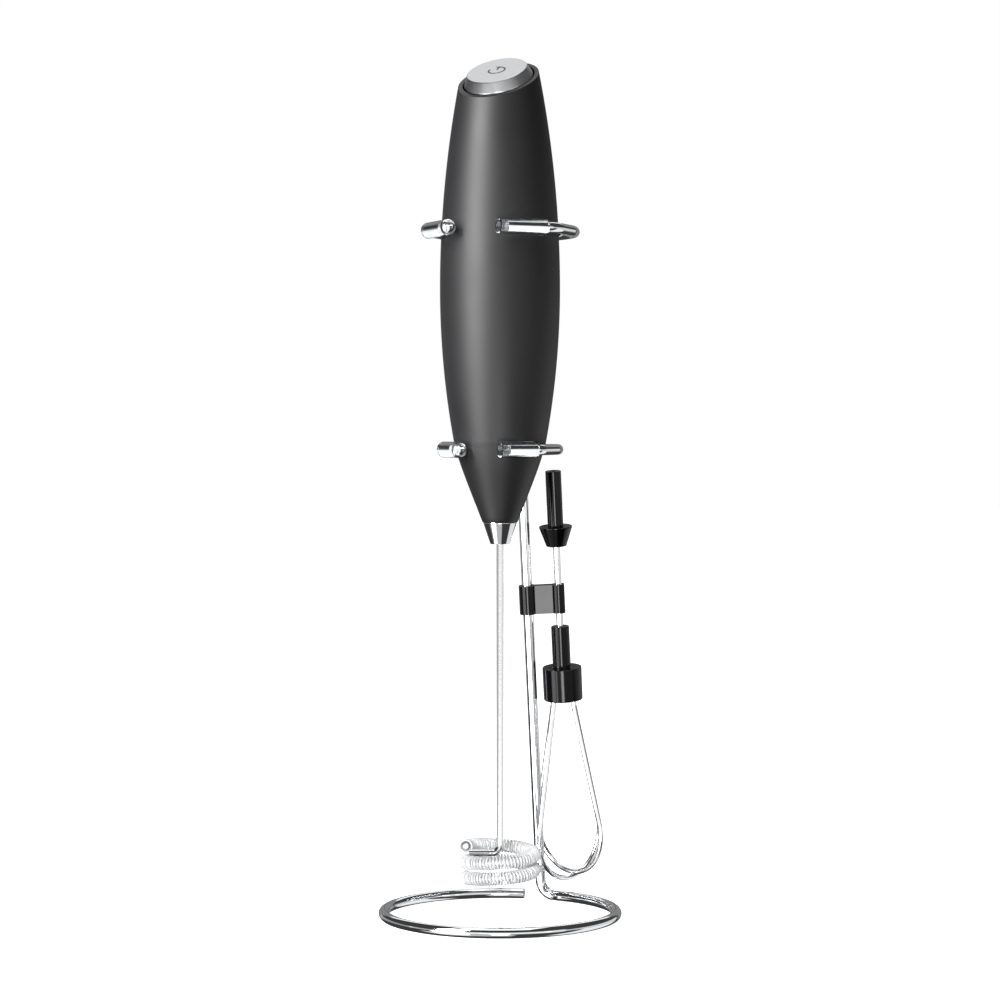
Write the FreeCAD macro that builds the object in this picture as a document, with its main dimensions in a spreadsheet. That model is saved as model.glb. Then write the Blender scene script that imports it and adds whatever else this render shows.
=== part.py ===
import FreeCAD, Part
import math
import os
import re
import Sketcher

from FreeCAD import Placement, Rotation, Vector

# A battery milk frother standing in its wire stand, with a spare balloon whisk clipped to the post.
# Origin: on the handle's axis, on the surface the ring stands on. +Z is up, -Y is the stand's open
# front, where the handle's slanted top is low. All sizes are in millimetres, and a size that
# follows from others is a formula.

SIZES = {
    # stand
    "wire_d": 3.0, "ring_r": 32.6, "ring_gap_deg": 9.0, "foot_bend_r": 4.0,
    "knee_in": 2.25, "post_knee_y": "=belly_r + wire_d / 2 - knee_in",
    "post_knee_z": 131.0, "post_knee_r": 25.0,
    "post_out": 1.75, "post_top_y": "=belly_r + wire_d / 2 + post_out", "post_top_z": 194.6,
    "weld_gap": 0.1, "weld_r": "=wire_d * 2 / 3",
    "weld_over": 0.2, "weld_height": "=wire_d + weld_over",
    "upper_arm_z": 192.0, "upper_arm_bend_r": 6.0, "upper_arm_reach": 6.4,
    "upper_arm_out": 2.85, "upper_arm_half": "=belly_r + upper_arm_out",
    "lower_arm_z": 131.2, "lower_arm_bend_r": 3.0, "lower_arm_reach": 4.0,
    "lower_arm_in": 2.15, "lower_arm_half": "=belly_r - lower_arm_in",
    "sleeve_wall": 0.7, "sleeve_gap": 0.05, "sleeve_past_wire": 2.5,
    "upper_sleeve_len": 14.4, "lower_sleeve_len": 11.0, "arm_handle_gap": 0.3,
    "upper_arm_ease": 0.05,
    # handle shell
    "belly_r": 16.75, "belly_low": 0.85, "belly_z": "=cell_z + cell_len / 2 - belly_low",
    "top_drop": 5.438, "upper_curve_r": "=((top_z - belly_z)^2 + top_drop^2) / (2 * top_drop)",
    "shoulder_z": 129.5, "shoulder_drop": 4.606,
    "lower_curve_r": "=((belly_z - shoulder_z)^2 + shoulder_drop^2) / (2 * shoulder_drop)",
    "shoulder_fillet_r": 30.0, "nose_r": 4.9, "nose_z": 110.9, "wall": 1.2,
    "top_room": 31.9, "top_z": "=cell_z + cell_len + top_room", "top_centre_y": -1.15,
    "top_slope_deg": 28.5, "barrel_over": 11.9, "barrel_height": "=top_z + barrel_over - nose_z",
    "cover_in": 1.8, "cover_face_y": "=button_half_y - cover_in", "cover_bottom_z": 148.4,
    "seam": 0.15, "inner_gap": 0.2,
    # nose
    "tip_r": 2.7, "tip_height": 6.1, "tip_flange_r": 4.7, "tip_spigot_len": 3.1,
    "tip_spigot_r": "=nose_r - wall - inner_gap",
    "tip_hole_r": 1.3, "bush_r": 1.85, "bush_len": 6.0, "bush_from_tip": 2.7,
    # motor
    "motor_r": 10.2, "motor_flat_y": 7.7, "motor_z": 129.3, "can_len": 15.5, "cap_len": 2.0,
    "can_wall": 0.8, "boss_r": 3.0, "boss_len": 1.7, "bearing_r": 2.4, "run_gap": 0.05,
    "magnet_inner_r": 7.5, "magnet_outer_r": 9.3, "magnet_len": 12.0, "magnet_half_y": 5.6,
    "rotor_r": 6.5, "rotor_len": 10.0, "rotor_from_can": 3.0, "slot_w": 1.2, "slot_depth": 3.4,
    "commutator_r": 2.0, "commutator_len": 2.0, "brush_t": 0.3, "brush_len": 7.0,
    "terminal_x": 3.0, "terminal_y": -4.0, "terminal_len": 1.2, "mount_r_gap": 0.2,
    "mount_lip": 0.8, "terminal_half": 0.8, "terminal_t": 0.4, "magnet_from_can": 1.0,
    "end_bearing_depth": 2.2, "end_bearing_in": 1.0, "commutator_gap": 0.2,
    # drive
    "shaft_r": 1.0, "coupling_r": 2.5, "coupling_z": 114.5, "coupling_len": 12.0,
    "coupling_web": 1.0, "press_gap": 0.03, "motor_shaft_top_z": 145.8,
    # whisk head
    "spoke_z": 18.3, "spoke_bend_r": 2.0, "coil_r": 9.6, "coil_tube_r": 1.8, "coil_pitch": 4.05,
    "coil_turns": 2.0, "coil_over_spoke": 2.0, "view_turn_deg": 21.5,
    # cells and tray
    "cell_r": 7.0, "cell_x": 7.05, "cell_len": 50.5, "nub_r": 2.75, "nub_len": 1.0,
    "cell_z": 151.6, "trough_gap": 0.15, "tray_end_t": 1.4, "contact_room": 1.8,
    "tray_back_gap": 0.2, "duct_half_x": 11.0, "duct_face_y": -8.6,
    "contact_t": 0.25, "contact_half_x": 4.5, "contact_half_y": 4.0, "contact_gap": 0.05,
    "spring_r": 2.6, "spring_wire_r": 0.25, "spring_pitch": 0.6, "spring_gap": 0.05,
    "dome_in": 0.6,
    # switch and button
    "button_in_x": 5.65, "button_half_x": "=belly_r - wall - button_in_x",
    "button_in_y": 4.75, "button_half_y": "=belly_r - wall - button_in_y",
    "button_slope_x": 1.55, "button_face_x": "=button_half_x - button_slope_x",
    "button_slope_y": 1.6, "button_face_y": "=button_half_y - button_slope_y",
    "button_height": 2.8, "button_skirt": 0.5, "button_boss_r": 4.0, "button_boss_len": 2.6,
    "button_travel": 1.2, "cap_drop": 5.8, "cap_t": 1.4, "switch_half": 3.0, "switch_top": 4.0,
    "board_in": 8.55, "board_half_x": "=belly_r - wall - board_in", "board_half_y": 6.0,
    "board_t": 1.0, "board_gap": 0.1, "switch_gap": 0.2, "plunger_gap": 0.1, "plunger_r": 1.75,
    "plunger_len": 2.6, "button_spring_r": 5.0, "button_spring_wire_r": 0.25,
    "button_spring_gap": 0.1, "mark_r": 2.3, "mark_line": 0.55, "mark_depth": 0.2,
    "mark_break_half": 0.88,
    # leads
    "lead_r": 0.6, "lead_x": 3.0, "lead_y": -12.3, "lead_bend_r": 2.5,
    "lead_gap": 0.05, "lead_drop": 0.4, "lead_step": 2.0, "lead_high": 9.0, "lead_low": 2.0,
    # accessory clip, in a frame along the post
    "clip_z": 88.0, "clip_height": 8.3, "clip_post_wall": 0.85, "clip_web_t": 2.2,
    "clip_offset": 8.95, "clip_rod_wall": 1.0, "clip_mouth_gap": 0.1,
    # spare whisk, heights from the clip's middle along the post
    "coupler_r": 2.1, "coupler_top": 36.9, "collar_top": 21.0, "collar_bottom": 15.2,
    "collar_top_r": 4.75, "collar_bottom_r": 2.85, "socket_depth": 12.0, "rod_r": 1.0,
    "rod_top": 22.5, "rod_bottom": -26.0, "hub_top": -8.1, "hub_neck_r": 2.6, "cup_top": -20.0,
    "cup_r": 5.65, "cup_bottom": -29.6, "loop_wire_r": 0.75, "loop_root_r": 4.0,
    "loop_root_depth": 3.2, "loop_belly_r": 12.6, "loop_bottom": -82.4, "loop_bend_r": 6.0,
    "loop_gap": 0.15, "loop_root_gap": 0.2, "loop_bend_drop": 1.0,
}

doc = FreeCAD.newDocument("milk_frother")
sheet = doc.addObject("Spreadsheet::Sheet", "Dims")
for row, alias in enumerate(SIZES, start=1):
    sheet.set(f"A{row}", alias)
    sheet.setAlias(f"B{row}", alias)
for row, number in enumerate(SIZES.values(), start=1):
    sheet.set(f"B{row}", str(number))
doc.recompute()

NODES = []


def size(alias):
    """Return a size from the sheet, in millimetres or degrees."""
    return float(sheet.get(alias))


def rule(text):
    """Turn words such as 'belly_r - wall' into an expression on the sheet."""
    def on_sheet(word):
        return f"Dims.{word.group()}" if word.group() in SIZES else word.group()
    return re.sub(r"[a-z]\w*", on_sheet, str(text))


def bind(item, **rules):
    """Bind properties of an object to the sheet."""
    for name, text in rules.items():
        item.setExpression(name, rule(text))
    return item


def move(item, x="0", y="0", z="0"):
    """Bind where an object stands."""
    item.setExpression("Placement.Base.x", rule(x))
    item.setExpression("Placement.Base.y", rule(y))
    item.setExpression("Placement.Base.z", rule(z))
    return item


def node(item):
    """Count an object as a sub-part to write out."""
    NODES.append(item)
    return item


def cylinder(label, radius, height, x="0", y="0", z="0"):
    item = doc.addObject("Part::Cylinder", label)
    bind(item, Radius=radius, Height=height)
    return move(item, x, y, z)


def box(label, x, y, z):
    """A box from (low, high) pairs of rules along each axis."""
    item = doc.addObject("Part::Box", label)
    spans = [f"( {high} ) - ( {low} )" for low, high in (x, y, z)]
    bind(item, Length=spans[0], Width=spans[1], Height=spans[2])
    return move(item, x[0], y[0], z[0])


def fuse(label, *items):
    item = doc.addObject("Part::MultiFuse", label)
    item.Shapes = list(items)
    item.Refine = True
    return item


def common(label, *items):
    item = doc.addObject("Part::MultiCommon", label)
    item.Shapes = list(items)
    return item


def cut(label, base, *tools):
    item = doc.addObject("Part::Cut", label)
    item.Base = base
    item.Tool = tools[0] if len(tools) == 1 else fuse(f"{label}_tools", *tools)
    item.Refine = True
    return item


def origin_plane(body, role):
    return next(item for item in body.Origin.OriginFeatures if item.Role == role)


def fix_point(sketch, curve, place, x, y):
    """Hold one point of a sketch curve at a place given by two rules."""
    if x is not None:
        held = sketch.addConstraint(Sketcher.Constraint("DistanceX", -1, 1, curve, place, 1.0))
        sketch.setExpression(f"Constraints[{held}]", rule(x))
    if y is not None:
        held = sketch.addConstraint(Sketcher.Constraint("DistanceY", -1, 1, curve, place, 1.0))
        sketch.setExpression(f"Constraints[{held}]", rule(y))


def turned(label, outline):
    """A body turned about Z from a closed outline of (radius, height) rules."""
    body = doc.addObject("PartDesign::Body", label)
    doc.recompute()
    sketch = body.newObject("Sketcher::SketchObject", f"{label}_outline")
    sketch.AttachmentSupport = [(origin_plane(body, "XZ_Plane"), "")]
    sketch.MapMode = "FlatFace"
    start = [Vector(sheet_value(r), sheet_value(z), 0) for r, z in outline]
    for index, point in enumerate(start):
        sketch.addGeometry(Part.LineSegment(point, start[(index + 1) % len(start)]), False)
    for index in range(len(start)):
        after = (index + 1) % len(start)
        sketch.addConstraint(Sketcher.Constraint("Coincident", index, 2, after, 1))
    for index, (radius, height) in enumerate(outline):
        fix_point(sketch, index, 1, radius, height)
    doc.recompute()
    turn = body.newObject("PartDesign::Revolution", f"{label}_turn")
    turn.Profile = sketch
    turn.ReferenceAxis = (sketch, ["V_Axis"])
    turn.Angle = 360
    sketch.Visibility = False
    doc.recompute()
    return body


def sheet_value(text):
    """Work out a rule's value now, for a first drawing of a sketch."""
    value = sheet.evalExpression(rule(text))
    return float(getattr(value, "Value", value))


def corner_path(points, radii):
    """Straight runs through points, joined by tangent arcs of the given radii."""
    edges = []
    at = points[0]
    for index in range(1, len(points) - 1):
        corner = points[index]
        into = (corner - points[index - 1]).normalize()
        out = (points[index + 1] - corner).normalize()
        half_turn = into.getAngle(out) / 2
        run = radii[index - 1] * math.tan(half_turn)
        start = corner - into * run
        end = corner + out * run
        inward = (out - into).normalize()
        middle = corner + inward * (radii[index - 1] / math.cos(half_turn) - radii[index - 1])
        if (start - at).Length > 1e-6:
            edges.append(Part.makeLine(at, start))
        edges.append(Part.Arc(start, middle, end).toShape())
        at = end
    edges.append(Part.makeLine(at, points[-1]))
    return edges


def rod(label, edges, radius):
    """A round rod along a path of edges."""
    path = Part.Wire(edges)
    first = path.Edges[0]
    start = first.valueAt(first.FirstParameter)
    along = first.tangentAt(first.FirstParameter)
    ring = Part.Wire([Part.makeCircle(radius, start, along)])
    item = doc.addObject("Part::Feature", label)
    item.Shape = path.makePipeShell([ring], True, False)
    return item


# ---------------------------------------------------------------- stand wire
lean = math.atan2(
    size("ring_r") - size("post_knee_y"), size("post_knee_z") - size("wire_d") / 2)
foot_angle = math.atan(size("ring_r") / size("foot_bend_r"))
foot = Vector(0, size("ring_r") / math.sin(foot_angle), size("wire_d") / 2)
knee = Vector(0, size("post_knee_y"), size("post_knee_z"))
post_top = Vector(0, size("post_top_y"), size("post_top_z"))
post_up = (knee - foot).normalize()
post_start = foot + post_up * size("foot_bend_r")
knee_run = size("post_knee_r") * math.tan(post_up.getAngle(post_top - knee) / 2)


def ring_point(angle):
    return Vector(size("ring_r") * math.cos(angle), size("ring_r") * math.sin(angle), foot.z)


# The ring turns clockwise seen from above, from the foot bend round to its cut end.
ring_start = ring_point(foot_angle)
ring_end_angle = math.pi / 2 + math.radians(size("ring_gap_deg")) - 2 * math.pi
ring_middle = ring_point((foot_angle + ring_end_angle) / 2)
along_ring = (ring_start - foot).normalize()
turn = post_up.getAngle(along_ring) / 2
bend_r = size("foot_bend_r") / math.tan(math.pi / 2 - turn)
inward = (post_up + along_ring).normalize()
bend_middle = foot + inward * (bend_r / math.cos(math.pi / 2 - turn) - bend_r)
foot_bend = Part.Arc(post_start, bend_middle, ring_start).toShape()
ring_arc = Part.Arc(ring_start, ring_middle, ring_point(ring_end_angle)).toShape()
base_ring = node(rod("base_ring", [foot_bend, ring_arc], size("wire_d") / 2))
upright = node(rod(
    "upright", corner_path([post_start, knee, post_top], [size("post_knee_r")]),
    size("wire_d") / 2))


def post_y(height):
    """The post's centre line at a height, with the round of its knee."""
    low, high = (foot, knee) if height <= knee.z else (knee, post_top)
    share = (height - low.z) / (high.z - low.z)
    into_bend = max(knee_run - abs(height - knee.z), 0)
    return low.y + (high.y - low.y) * share + into_bend ** 2 / (2 * size("post_knee_r"))


def handle_r(height):
    """The handle's outer radius at a height above its shoulder."""
    curve_r = size("upper_curve_r") if height > size("belly_z") else size("lower_curve_r")
    drop = curve_r - math.sqrt(curve_r ** 2 - (height - size("belly_z")) ** 2)
    return size("belly_r") - drop


def arm(level, handle_limit_r):
    """One arm of the stand, its weld and its two clear sleeves."""
    height = size(f"{level}_arm_z")
    half = size(f"{level}_arm_half")
    sleeve_r = size("wire_d") / 2 + size("sleeve_gap") + size("sleeve_wall")
    line = handle_limit_r + size("arm_handle_gap") + sleeve_r
    back_y = post_y(height) + size("wire_d") + size("weld_gap")
    corner_y = half - line * math.sqrt(2)
    inboard = Vector(-1, -1, 0).normalize()
    tangent_point = Vector(line, -line, 0) / math.sqrt(2) + Vector(0, 0, height)
    end = tangent_point + inboard * size(f"{level}_arm_reach")
    right = [end, Vector(half, corner_y, height), Vector(half, back_y, height)]
    left = [Vector(-point.x, point.y, point.z) for point in reversed(right)]
    bend = size(f"{level}_arm_bend_r")
    path = corner_path(right + left, [bend, half, half, bend])
    arm_wire = node(rod(f"{level}_arm", path, size("wire_d") / 2))

    bead_y = back_y - (size("wire_d") + size("weld_gap")) / 2
    bead_z = f"{level}_arm_z - weld_height / 2"
    bead = cylinder(f"{level}_bead", "weld_r", "weld_height", "0", bead_y, bead_z)
    node(cut(f"{level}_arm_weld", bead, upright, arm_wire))

    for side, sign in (("right", 1), ("left", -1)):
        length = size(f"{level}_sleeve_len")
        tip = end + inboard * size("sleeve_past_wire")
        start = Vector(sign * tip.x, tip.y, tip.z)
        way = Vector(-sign * inboard.x, -inboard.y, 0)
        sleeve = doc.addObject("Part::Feature", f"{level}_sleeve_{side}")
        outside = Part.makeCylinder(sleeve_r, length, start, way)
        bore = Part.makeCylinder(size("wire_d") / 2 + size("sleeve_gap"), length, start, way)
        sleeve.Shape = outside.cut(bore)
        node(sleeve)


arm("upper", size("belly_r") + size("upper_arm_ease"))
arm("lower", handle_r(size("lower_arm_z")))

# ---------------------------------------------------------------- handle shell


def barrel(label, inset):
    """The handle's outline, turned about Z and moved in by an inset."""
    body = doc.addObject("PartDesign::Body", label)
    doc.recompute()
    sketch = body.newObject("Sketcher::SketchObject", f"{label}_outline")
    sketch.AttachmentSupport = [(origin_plane(body, "XZ_Plane"), "")]
    sketch.MapMode = "FlatFace"
    inside = sheet_value(inset)
    belly_r = size("belly_r") - inside
    belly_z = size("belly_z")
    top = size("nose_z") + size("barrel_height")
    shoulder = size("shoulder_z")
    upper_r = size("upper_curve_r") - inside
    lower_r = size("lower_curve_r") - inside
    nose = Vector(size("nose_r") - inside, size("nose_z"), 0)

    def curve_point(radius, height):
        reach = math.sqrt(radius ** 2 - (height - belly_z) ** 2)
        return Vector(belly_r - radius + reach, height, 0)

    def curve(radius, low, high):
        middle = curve_point(radius, (low.y + high.y) / 2)
        return Part.Arc(low, middle, high)

    corner = Vector(belly_r, belly_z, 0)
    shoulder_point = curve_point(lower_r, shoulder)
    top_point = curve_point(upper_r, top)
    sketch.addGeometry(Part.LineSegment(Vector(0, nose.y, 0), nose), False)
    sketch.addGeometry(Part.LineSegment(nose, shoulder_point), False)
    sketch.addGeometry(curve(lower_r, shoulder_point, corner), False)
    sketch.addGeometry(curve(upper_r, corner, top_point), False)
    sketch.addGeometry(Part.LineSegment(top_point, Vector(0, top, 0)), False)
    sketch.addGeometry(Part.LineSegment(Vector(0, top, 0), Vector(0, nose.y, 0)), False)
    joins = [(0, 2, 1, 1), (1, 2, 2, 1), (2, 2, 3, 1), (3, 2, 4, 1), (4, 2, 5, 1), (5, 2, 0, 1)]
    for first, end, second, start in joins:
        sketch.addConstraint(Sketcher.Constraint("Coincident", first, end, second, start))
    fix_point(sketch, 0, 1, "0", "nose_z")
    fix_point(sketch, 1, 1, f"nose_r - ( {inset} )", "nose_z")
    fix_point(sketch, 2, 1, None, "shoulder_z")
    fix_point(sketch, 3, 1, f"belly_r - ( {inset} )", "belly_z")
    fix_point(sketch, 4, 1, None, "nose_z + barrel_height")
    fix_point(sketch, 5, 1, "0", "nose_z + barrel_height")
    for arc, radius in ((2, "lower_curve_r"), (3, "upper_curve_r")):
        fix_point(sketch, arc, 3, None, "belly_z")
        held = sketch.addConstraint(Sketcher.Constraint("Radius", arc, 100.0))
        sketch.setExpression(f"Constraints[{held}]", rule(f"{radius} - ( {inset} )"))
    doc.recompute()
    turn_feature = body.newObject("PartDesign::Revolution", f"{label}_turn")
    turn_feature.Profile = sketch
    turn_feature.ReferenceAxis = (sketch, ["V_Axis"])
    turn_feature.Angle = 360
    sketch.Visibility = False
    doc.recompute()
    return body


def top_frame(x=0.0, y=0.0, rise=0.0):
    """A place in the slanted top's frame: its Z leaves the button, its Y runs up the slope."""
    turned_over = Rotation(Vector(1, 0, 0), size("top_slope_deg"))
    base = Vector(0, size("top_centre_y"), size("top_z"))
    return Placement(base + turned_over.multVec(Vector(x, y, rise)), turned_over)


barrel_outside = barrel("barrel_outside", "0")
barrel_turn = barrel_outside.Tip
sharp_edge = None
for number, edge in enumerate(barrel_outside.Shape.Edges, start=1):
    level_edge = abs(edge.BoundBox.ZMax - size("shoulder_z")) < 1e-4
    if level_edge and edge.BoundBox.ZLength < 1e-4:
        sharp_edge = f"Edge{number}"
shoulder_fillet = barrel_outside.newObject("PartDesign::Fillet", "shoulder_fillet")
shoulder_fillet.Base = (barrel_turn, [sharp_edge])
bind(shoulder_fillet, Radius="shoulder_fillet_r")
doc.recompute()
barrel_inside = barrel("barrel_inside", "wall")
top_waste = box("top_waste", ("-40", "40"), ("-40", "40"), ("0", "40"))
top_waste.setExpression("Placement.Base.x", None)
top_waste.setExpression("Placement.Base.y", None)
top_waste.setExpression("Placement.Base.z", None)
top_waste.Placement = top_frame(-40, -40, 0)
barrel_wall = cut("barrel_wall", barrel_outside, barrel_inside, top_waste)
window = box(
    "cover_window", ("-25", "25"), ("cover_face_y", "25"), ("cover_bottom_z", "260"))
handle_shell = node(cut("handle_shell", barrel_wall, window))
cover_block = box(
    "cover_block", ("-25", "25"), ("cover_face_y + seam", "25"),
    ("cover_bottom_z + seam", "260"))
battery_cover = node(common("battery_cover", barrel_wall, cover_block))

# ---------------------------------------------------------------- nose and bush
tip_bottom = "nose_z - tip_height"
tip_bush_z = f"{tip_bottom} + bush_from_tip"
tip_cone = node(turned("tip_cone", [
    ("tip_hole_r", tip_bottom), ("tip_r", tip_bottom), ("tip_flange_r", "nose_z"),
    ("tip_spigot_r", "nose_z"), ("tip_spigot_r", "nose_z + tip_spigot_len"),
    ("bush_r + press_gap", "nose_z + tip_spigot_len"), ("bush_r + press_gap", tip_bush_z),
    ("tip_hole_r", tip_bush_z)]))
tip_bush = node(turned("tip_bush", [
    ("shaft_r + run_gap", tip_bush_z), ("bush_r", tip_bush_z),
    ("bush_r", f"{tip_bush_z} + bush_len"), ("shaft_r + run_gap", f"{tip_bush_z} + bush_len")]))

# ---------------------------------------------------------------- motor
core = barrel("core_room", "wall + inner_gap")
mount_low = "motor_z - boss_len - mount_lip"
mount_slab = box("mount_slab", ("-20", "20"), ("-20", "20"), (mount_low, "motor_z"))
mount_hole = cylinder("mount_hole", "boss_r + mount_r_gap", "20", z="motor_z - 10")
motor_mount = node(cut("motor_mount", common("mount_disc", core, mount_slab), mount_hole))


def motor_section(label, low, length, inset="0"):
    """A round section with two flats, as the motor's can has."""
    barrel_part = cylinder(f"{label}_round", f"motor_r - {inset}", length, z=low)
    flats = box(
        f"{label}_flats", ("-20", "20"),
        (f"- motor_flat_y + {inset}", f"motor_flat_y - {inset}"), (low, f"{low} + {length}"))
    return common(label, barrel_part, flats)


can_top = "motor_z + can_len"
motor_can = node(cut(
    "motor_can",
    fuse("can_body", motor_section("can_outside", "motor_z", "can_len"),
         cylinder("can_boss", "boss_r", "boss_len + can_wall", z="motor_z - boss_len")),
    motor_section("can_inside", "motor_z + can_wall", "can_len", "can_wall"),
    cylinder("boss_bore", "bearing_r + press_gap", "20", z="motor_z - 10")))
motor_bearing = node(turned("motor_bearing", [
    ("shaft_r + run_gap", "motor_z - boss_len"), ("bearing_r", "motor_z - boss_len"),
    ("bearing_r", "motor_z + can_wall"), ("shaft_r + run_gap", "motor_z + can_wall")]))
motor_end_cap = node(cut(
    "motor_end_cap", motor_section("end_cap_plate", can_top, "cap_len"),
    cylinder("end_bearing_hole", "shaft_r + run_gap", "end_bearing_depth",
             z=f"{can_top} - end_bearing_in")))
magnet_ring = cut(
    "magnet_ring",
    cylinder("magnet_outside", "magnet_outer_r", "magnet_len", z="motor_z + can_wall + magnet_from_can"),
    cylinder("magnet_inside", "magnet_inner_r", "magnet_len", z="motor_z + can_wall + magnet_from_can"))
motor_magnets = node(common("motor_magnets", magnet_ring, box(
    "magnet_band", ("-20", "20"), ("- magnet_half_y", "magnet_half_y"),
    ("motor_z", "motor_z + 20"))))
rotor_low = "motor_z + rotor_from_can"
rotor_blank = cylinder("rotor_blank", "rotor_r", "rotor_len", z=rotor_low)
slots = []
for index in range(3):
    slot = box(
        f"rotor_slot_{index}", ("rotor_r - slot_depth", "rotor_r + 1"),
        ("- slot_w / 2", "slot_w / 2"), (rotor_low, f"{rotor_low} + rotor_len"))
    spun = doc.addObject("Part::Feature", f"rotor_slot_turned_{index}")
    doc.recompute()
    spun.Shape = slot.Shape.copy()
    spun.Placement = Placement(Vector(), Rotation(Vector(0, 0, 1), 120 * index)) * spun.Placement
    slots.append(spun)
slots.append(cylinder("rotor_bore", "shaft_r + press_gap", "rotor_len", z=rotor_low))
rotor = node(cut("rotor", rotor_blank, *slots))
commutator_low = f"{rotor_low} + rotor_len + commutator_gap"
commutator = node(cut(
    "commutator", cylinder("commutator_drum", "commutator_r", "commutator_len", z=commutator_low),
    cylinder("commutator_bore", "shaft_r + press_gap", "commutator_len", z=commutator_low)))
brushes = []
for side, low, high in (
        ("left", "- commutator_r - brush_t - run_gap", "- commutator_r - run_gap"),
        ("right", "commutator_r + run_gap", "commutator_r + brush_t + run_gap")):
    brushes.append(box(
        f"brush_{side}", (low, high), ("- brush_len / 2", "brush_len / 2"),
        (commutator_low, f"{can_top}")))
motor_brushes = node(doc.addObject("Part::Compound", "motor_brushes"))
motor_brushes.Links = brushes
terminals = []
cap_top = f"{can_top} + cap_len"
for side, x in (("left", "- terminal_x"), ("right", "terminal_x")):
    terminals.append(box(
        f"terminal_{side}", (f"{x} - terminal_half", f"{x} + terminal_half"),
        ("terminal_y", "terminal_y + terminal_t"),
        (cap_top, f"{cap_top} + terminal_len")))
motor_terminals = node(doc.addObject("Part::Compound", "motor_terminals"))
motor_terminals.Links = terminals

# ---------------------------------------------------------------- drive and whisk
coupling_top = "coupling_z + coupling_len"
coupling_middle = "coupling_z + coupling_len / 2"
web_low = f"{coupling_middle} - coupling_web / 2"
web_high = f"{coupling_middle} + coupling_web / 2"
drive_coupling = node(cut(
    "drive_coupling", cylinder("coupling_blank", "coupling_r", "coupling_len", z="coupling_z"),
    cylinder("whisk_socket", "shaft_r + press_gap", f"{web_low} - coupling_z", z="coupling_z"),
    cylinder("motor_socket", "shaft_r + press_gap", f"{coupling_top} - ( {web_high} )",
             z=web_high)))
motor_shaft = node(cylinder(
    "motor_shaft", "shaft_r", f"motor_shaft_top_z - ( {web_high} )", z=web_high))

spoke_way = Vector(
    -math.cos(math.radians(size("view_turn_deg"))),
    -math.sin(math.radians(size("view_turn_deg"))), 0)
shaft_top = Vector(0, 0, sheet_value(web_low))
shaft_corner = Vector(0, 0, size("spoke_z"))
spoke_end = shaft_corner + spoke_way * (size("coil_r") - size("coil_tube_r") / 2)
whisk_shaft = node(rod(
    "whisk_shaft", corner_path([shaft_top, shaft_corner, spoke_end], [size("spoke_bend_r")]),
    size("shaft_r")))
helix = doc.addObject("Part::Helix", "coil_line")
bind(helix, Pitch="coil_pitch", Height="coil_pitch * coil_turns", Radius="coil_r")
coil_section = doc.addObject("Part::Circle", "coil_section")
bind(coil_section, Radius="coil_tube_r")
coil_section.Placement = Placement(
    Vector(size("coil_r"), 0, 0), Rotation(Vector(1, 0, 0), 90))
doc.recompute()
whisk_coil = node(doc.addObject("Part::Sweep", "whisk_coil"))
whisk_coil.Sections = [coil_section]
whisk_coil.Spine = (helix, [f"Edge{i + 1}" for i in range(len(helix.Shape.Edges))])
whisk_coil.Solid = True
whisk_coil.Frenet = True
coil_low = size("spoke_z") + size("coil_over_spoke") - size("coil_pitch") * size("coil_turns")
whisk_coil.Placement = Placement(
    Vector(0, 0, coil_low), Rotation(Vector(0, 0, 1), 180 + size("view_turn_deg")))

# ---------------------------------------------------------------- tray, cells and contacts
cell_top = "cell_z + cell_len"
tray_low = "cell_z - contact_room - tray_end_t"
tray_high = f"{cell_top} + contact_room + tray_end_t"
end_low = "cell_z - contact_room"
end_high = f"{cell_top} + contact_room"
tray_block = box(
    "tray_block", ("-20", "20"), ("-20", "cover_face_y - tray_back_gap"), (tray_low, tray_high))
tray_blank = common("tray_blank", core, tray_block)
tray_room = [box(
    "tray_open_back", ("-20", "20"), ("0", "20"), (end_low, end_high))]
for side, x in (("left", "- cell_x"), ("right", "cell_x")):
    tray_room.append(cylinder(
        f"trough_{side}", "cell_r + trough_gap", f"{end_high} - ( {end_low} )", x=x, z=end_low))
tray_room.append(box(
    "tray_duct", ("- duct_half_x", "duct_half_x"), ("-20", "duct_face_y"),
    (f"{tray_low} - 1", f"{tray_high} + 1")))
tray_room.append(box(
    "bridge_notch", ("- cell_x", "cell_x"), ("- contact_half_y - contact_gap", "0"),
    (f"{end_high} - contact_t - 3 * contact_gap", end_high)))
battery_tray = node(cut("battery_tray", tray_blank, *tray_room))


def cell(label, x, can_z, nub_z):
    can = cylinder(f"{label}_can", "cell_r", "cell_len - nub_len", x=x, z=can_z)
    nub = cylinder(f"{label}_nub", "nub_r", "nub_len", x=x, z=nub_z)
    return node(fuse(label, can, nub))


battery_left = cell("battery_left", "- cell_x", "cell_z", f"{cell_top} - nub_len")
battery_right = cell("battery_right", "cell_x", "cell_z + nub_len", "cell_z")


def contact_plate(label, x_low, x_high, low, high):
    return box(label, (x_low, x_high), ("- contact_half_y", "contact_half_y"), (low, high))


def spring(label, radius, wire_r, pitch, height, place):
    """A round-wire compression spring."""
    line = doc.addObject("Part::Helix", f"{label}_line")
    bind(line, Pitch=pitch, Height=height, Radius=radius)
    section = doc.addObject("Part::Circle", f"{label}_section")
    bind(section, Radius=wire_r)
    section.Placement = Placement(Vector(sheet_value(radius), 0, 0), Rotation(Vector(1, 0, 0), 90))
    doc.recompute()
    coil = doc.addObject("Part::Sweep", label)
    coil.Sections = [section]
    coil.Spine = (line, [f"Edge{i + 1}" for i in range(len(line.Shape.Edges))])
    coil.Solid = True
    coil.Frenet = True
    coil.Placement = place
    return node(coil)


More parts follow.
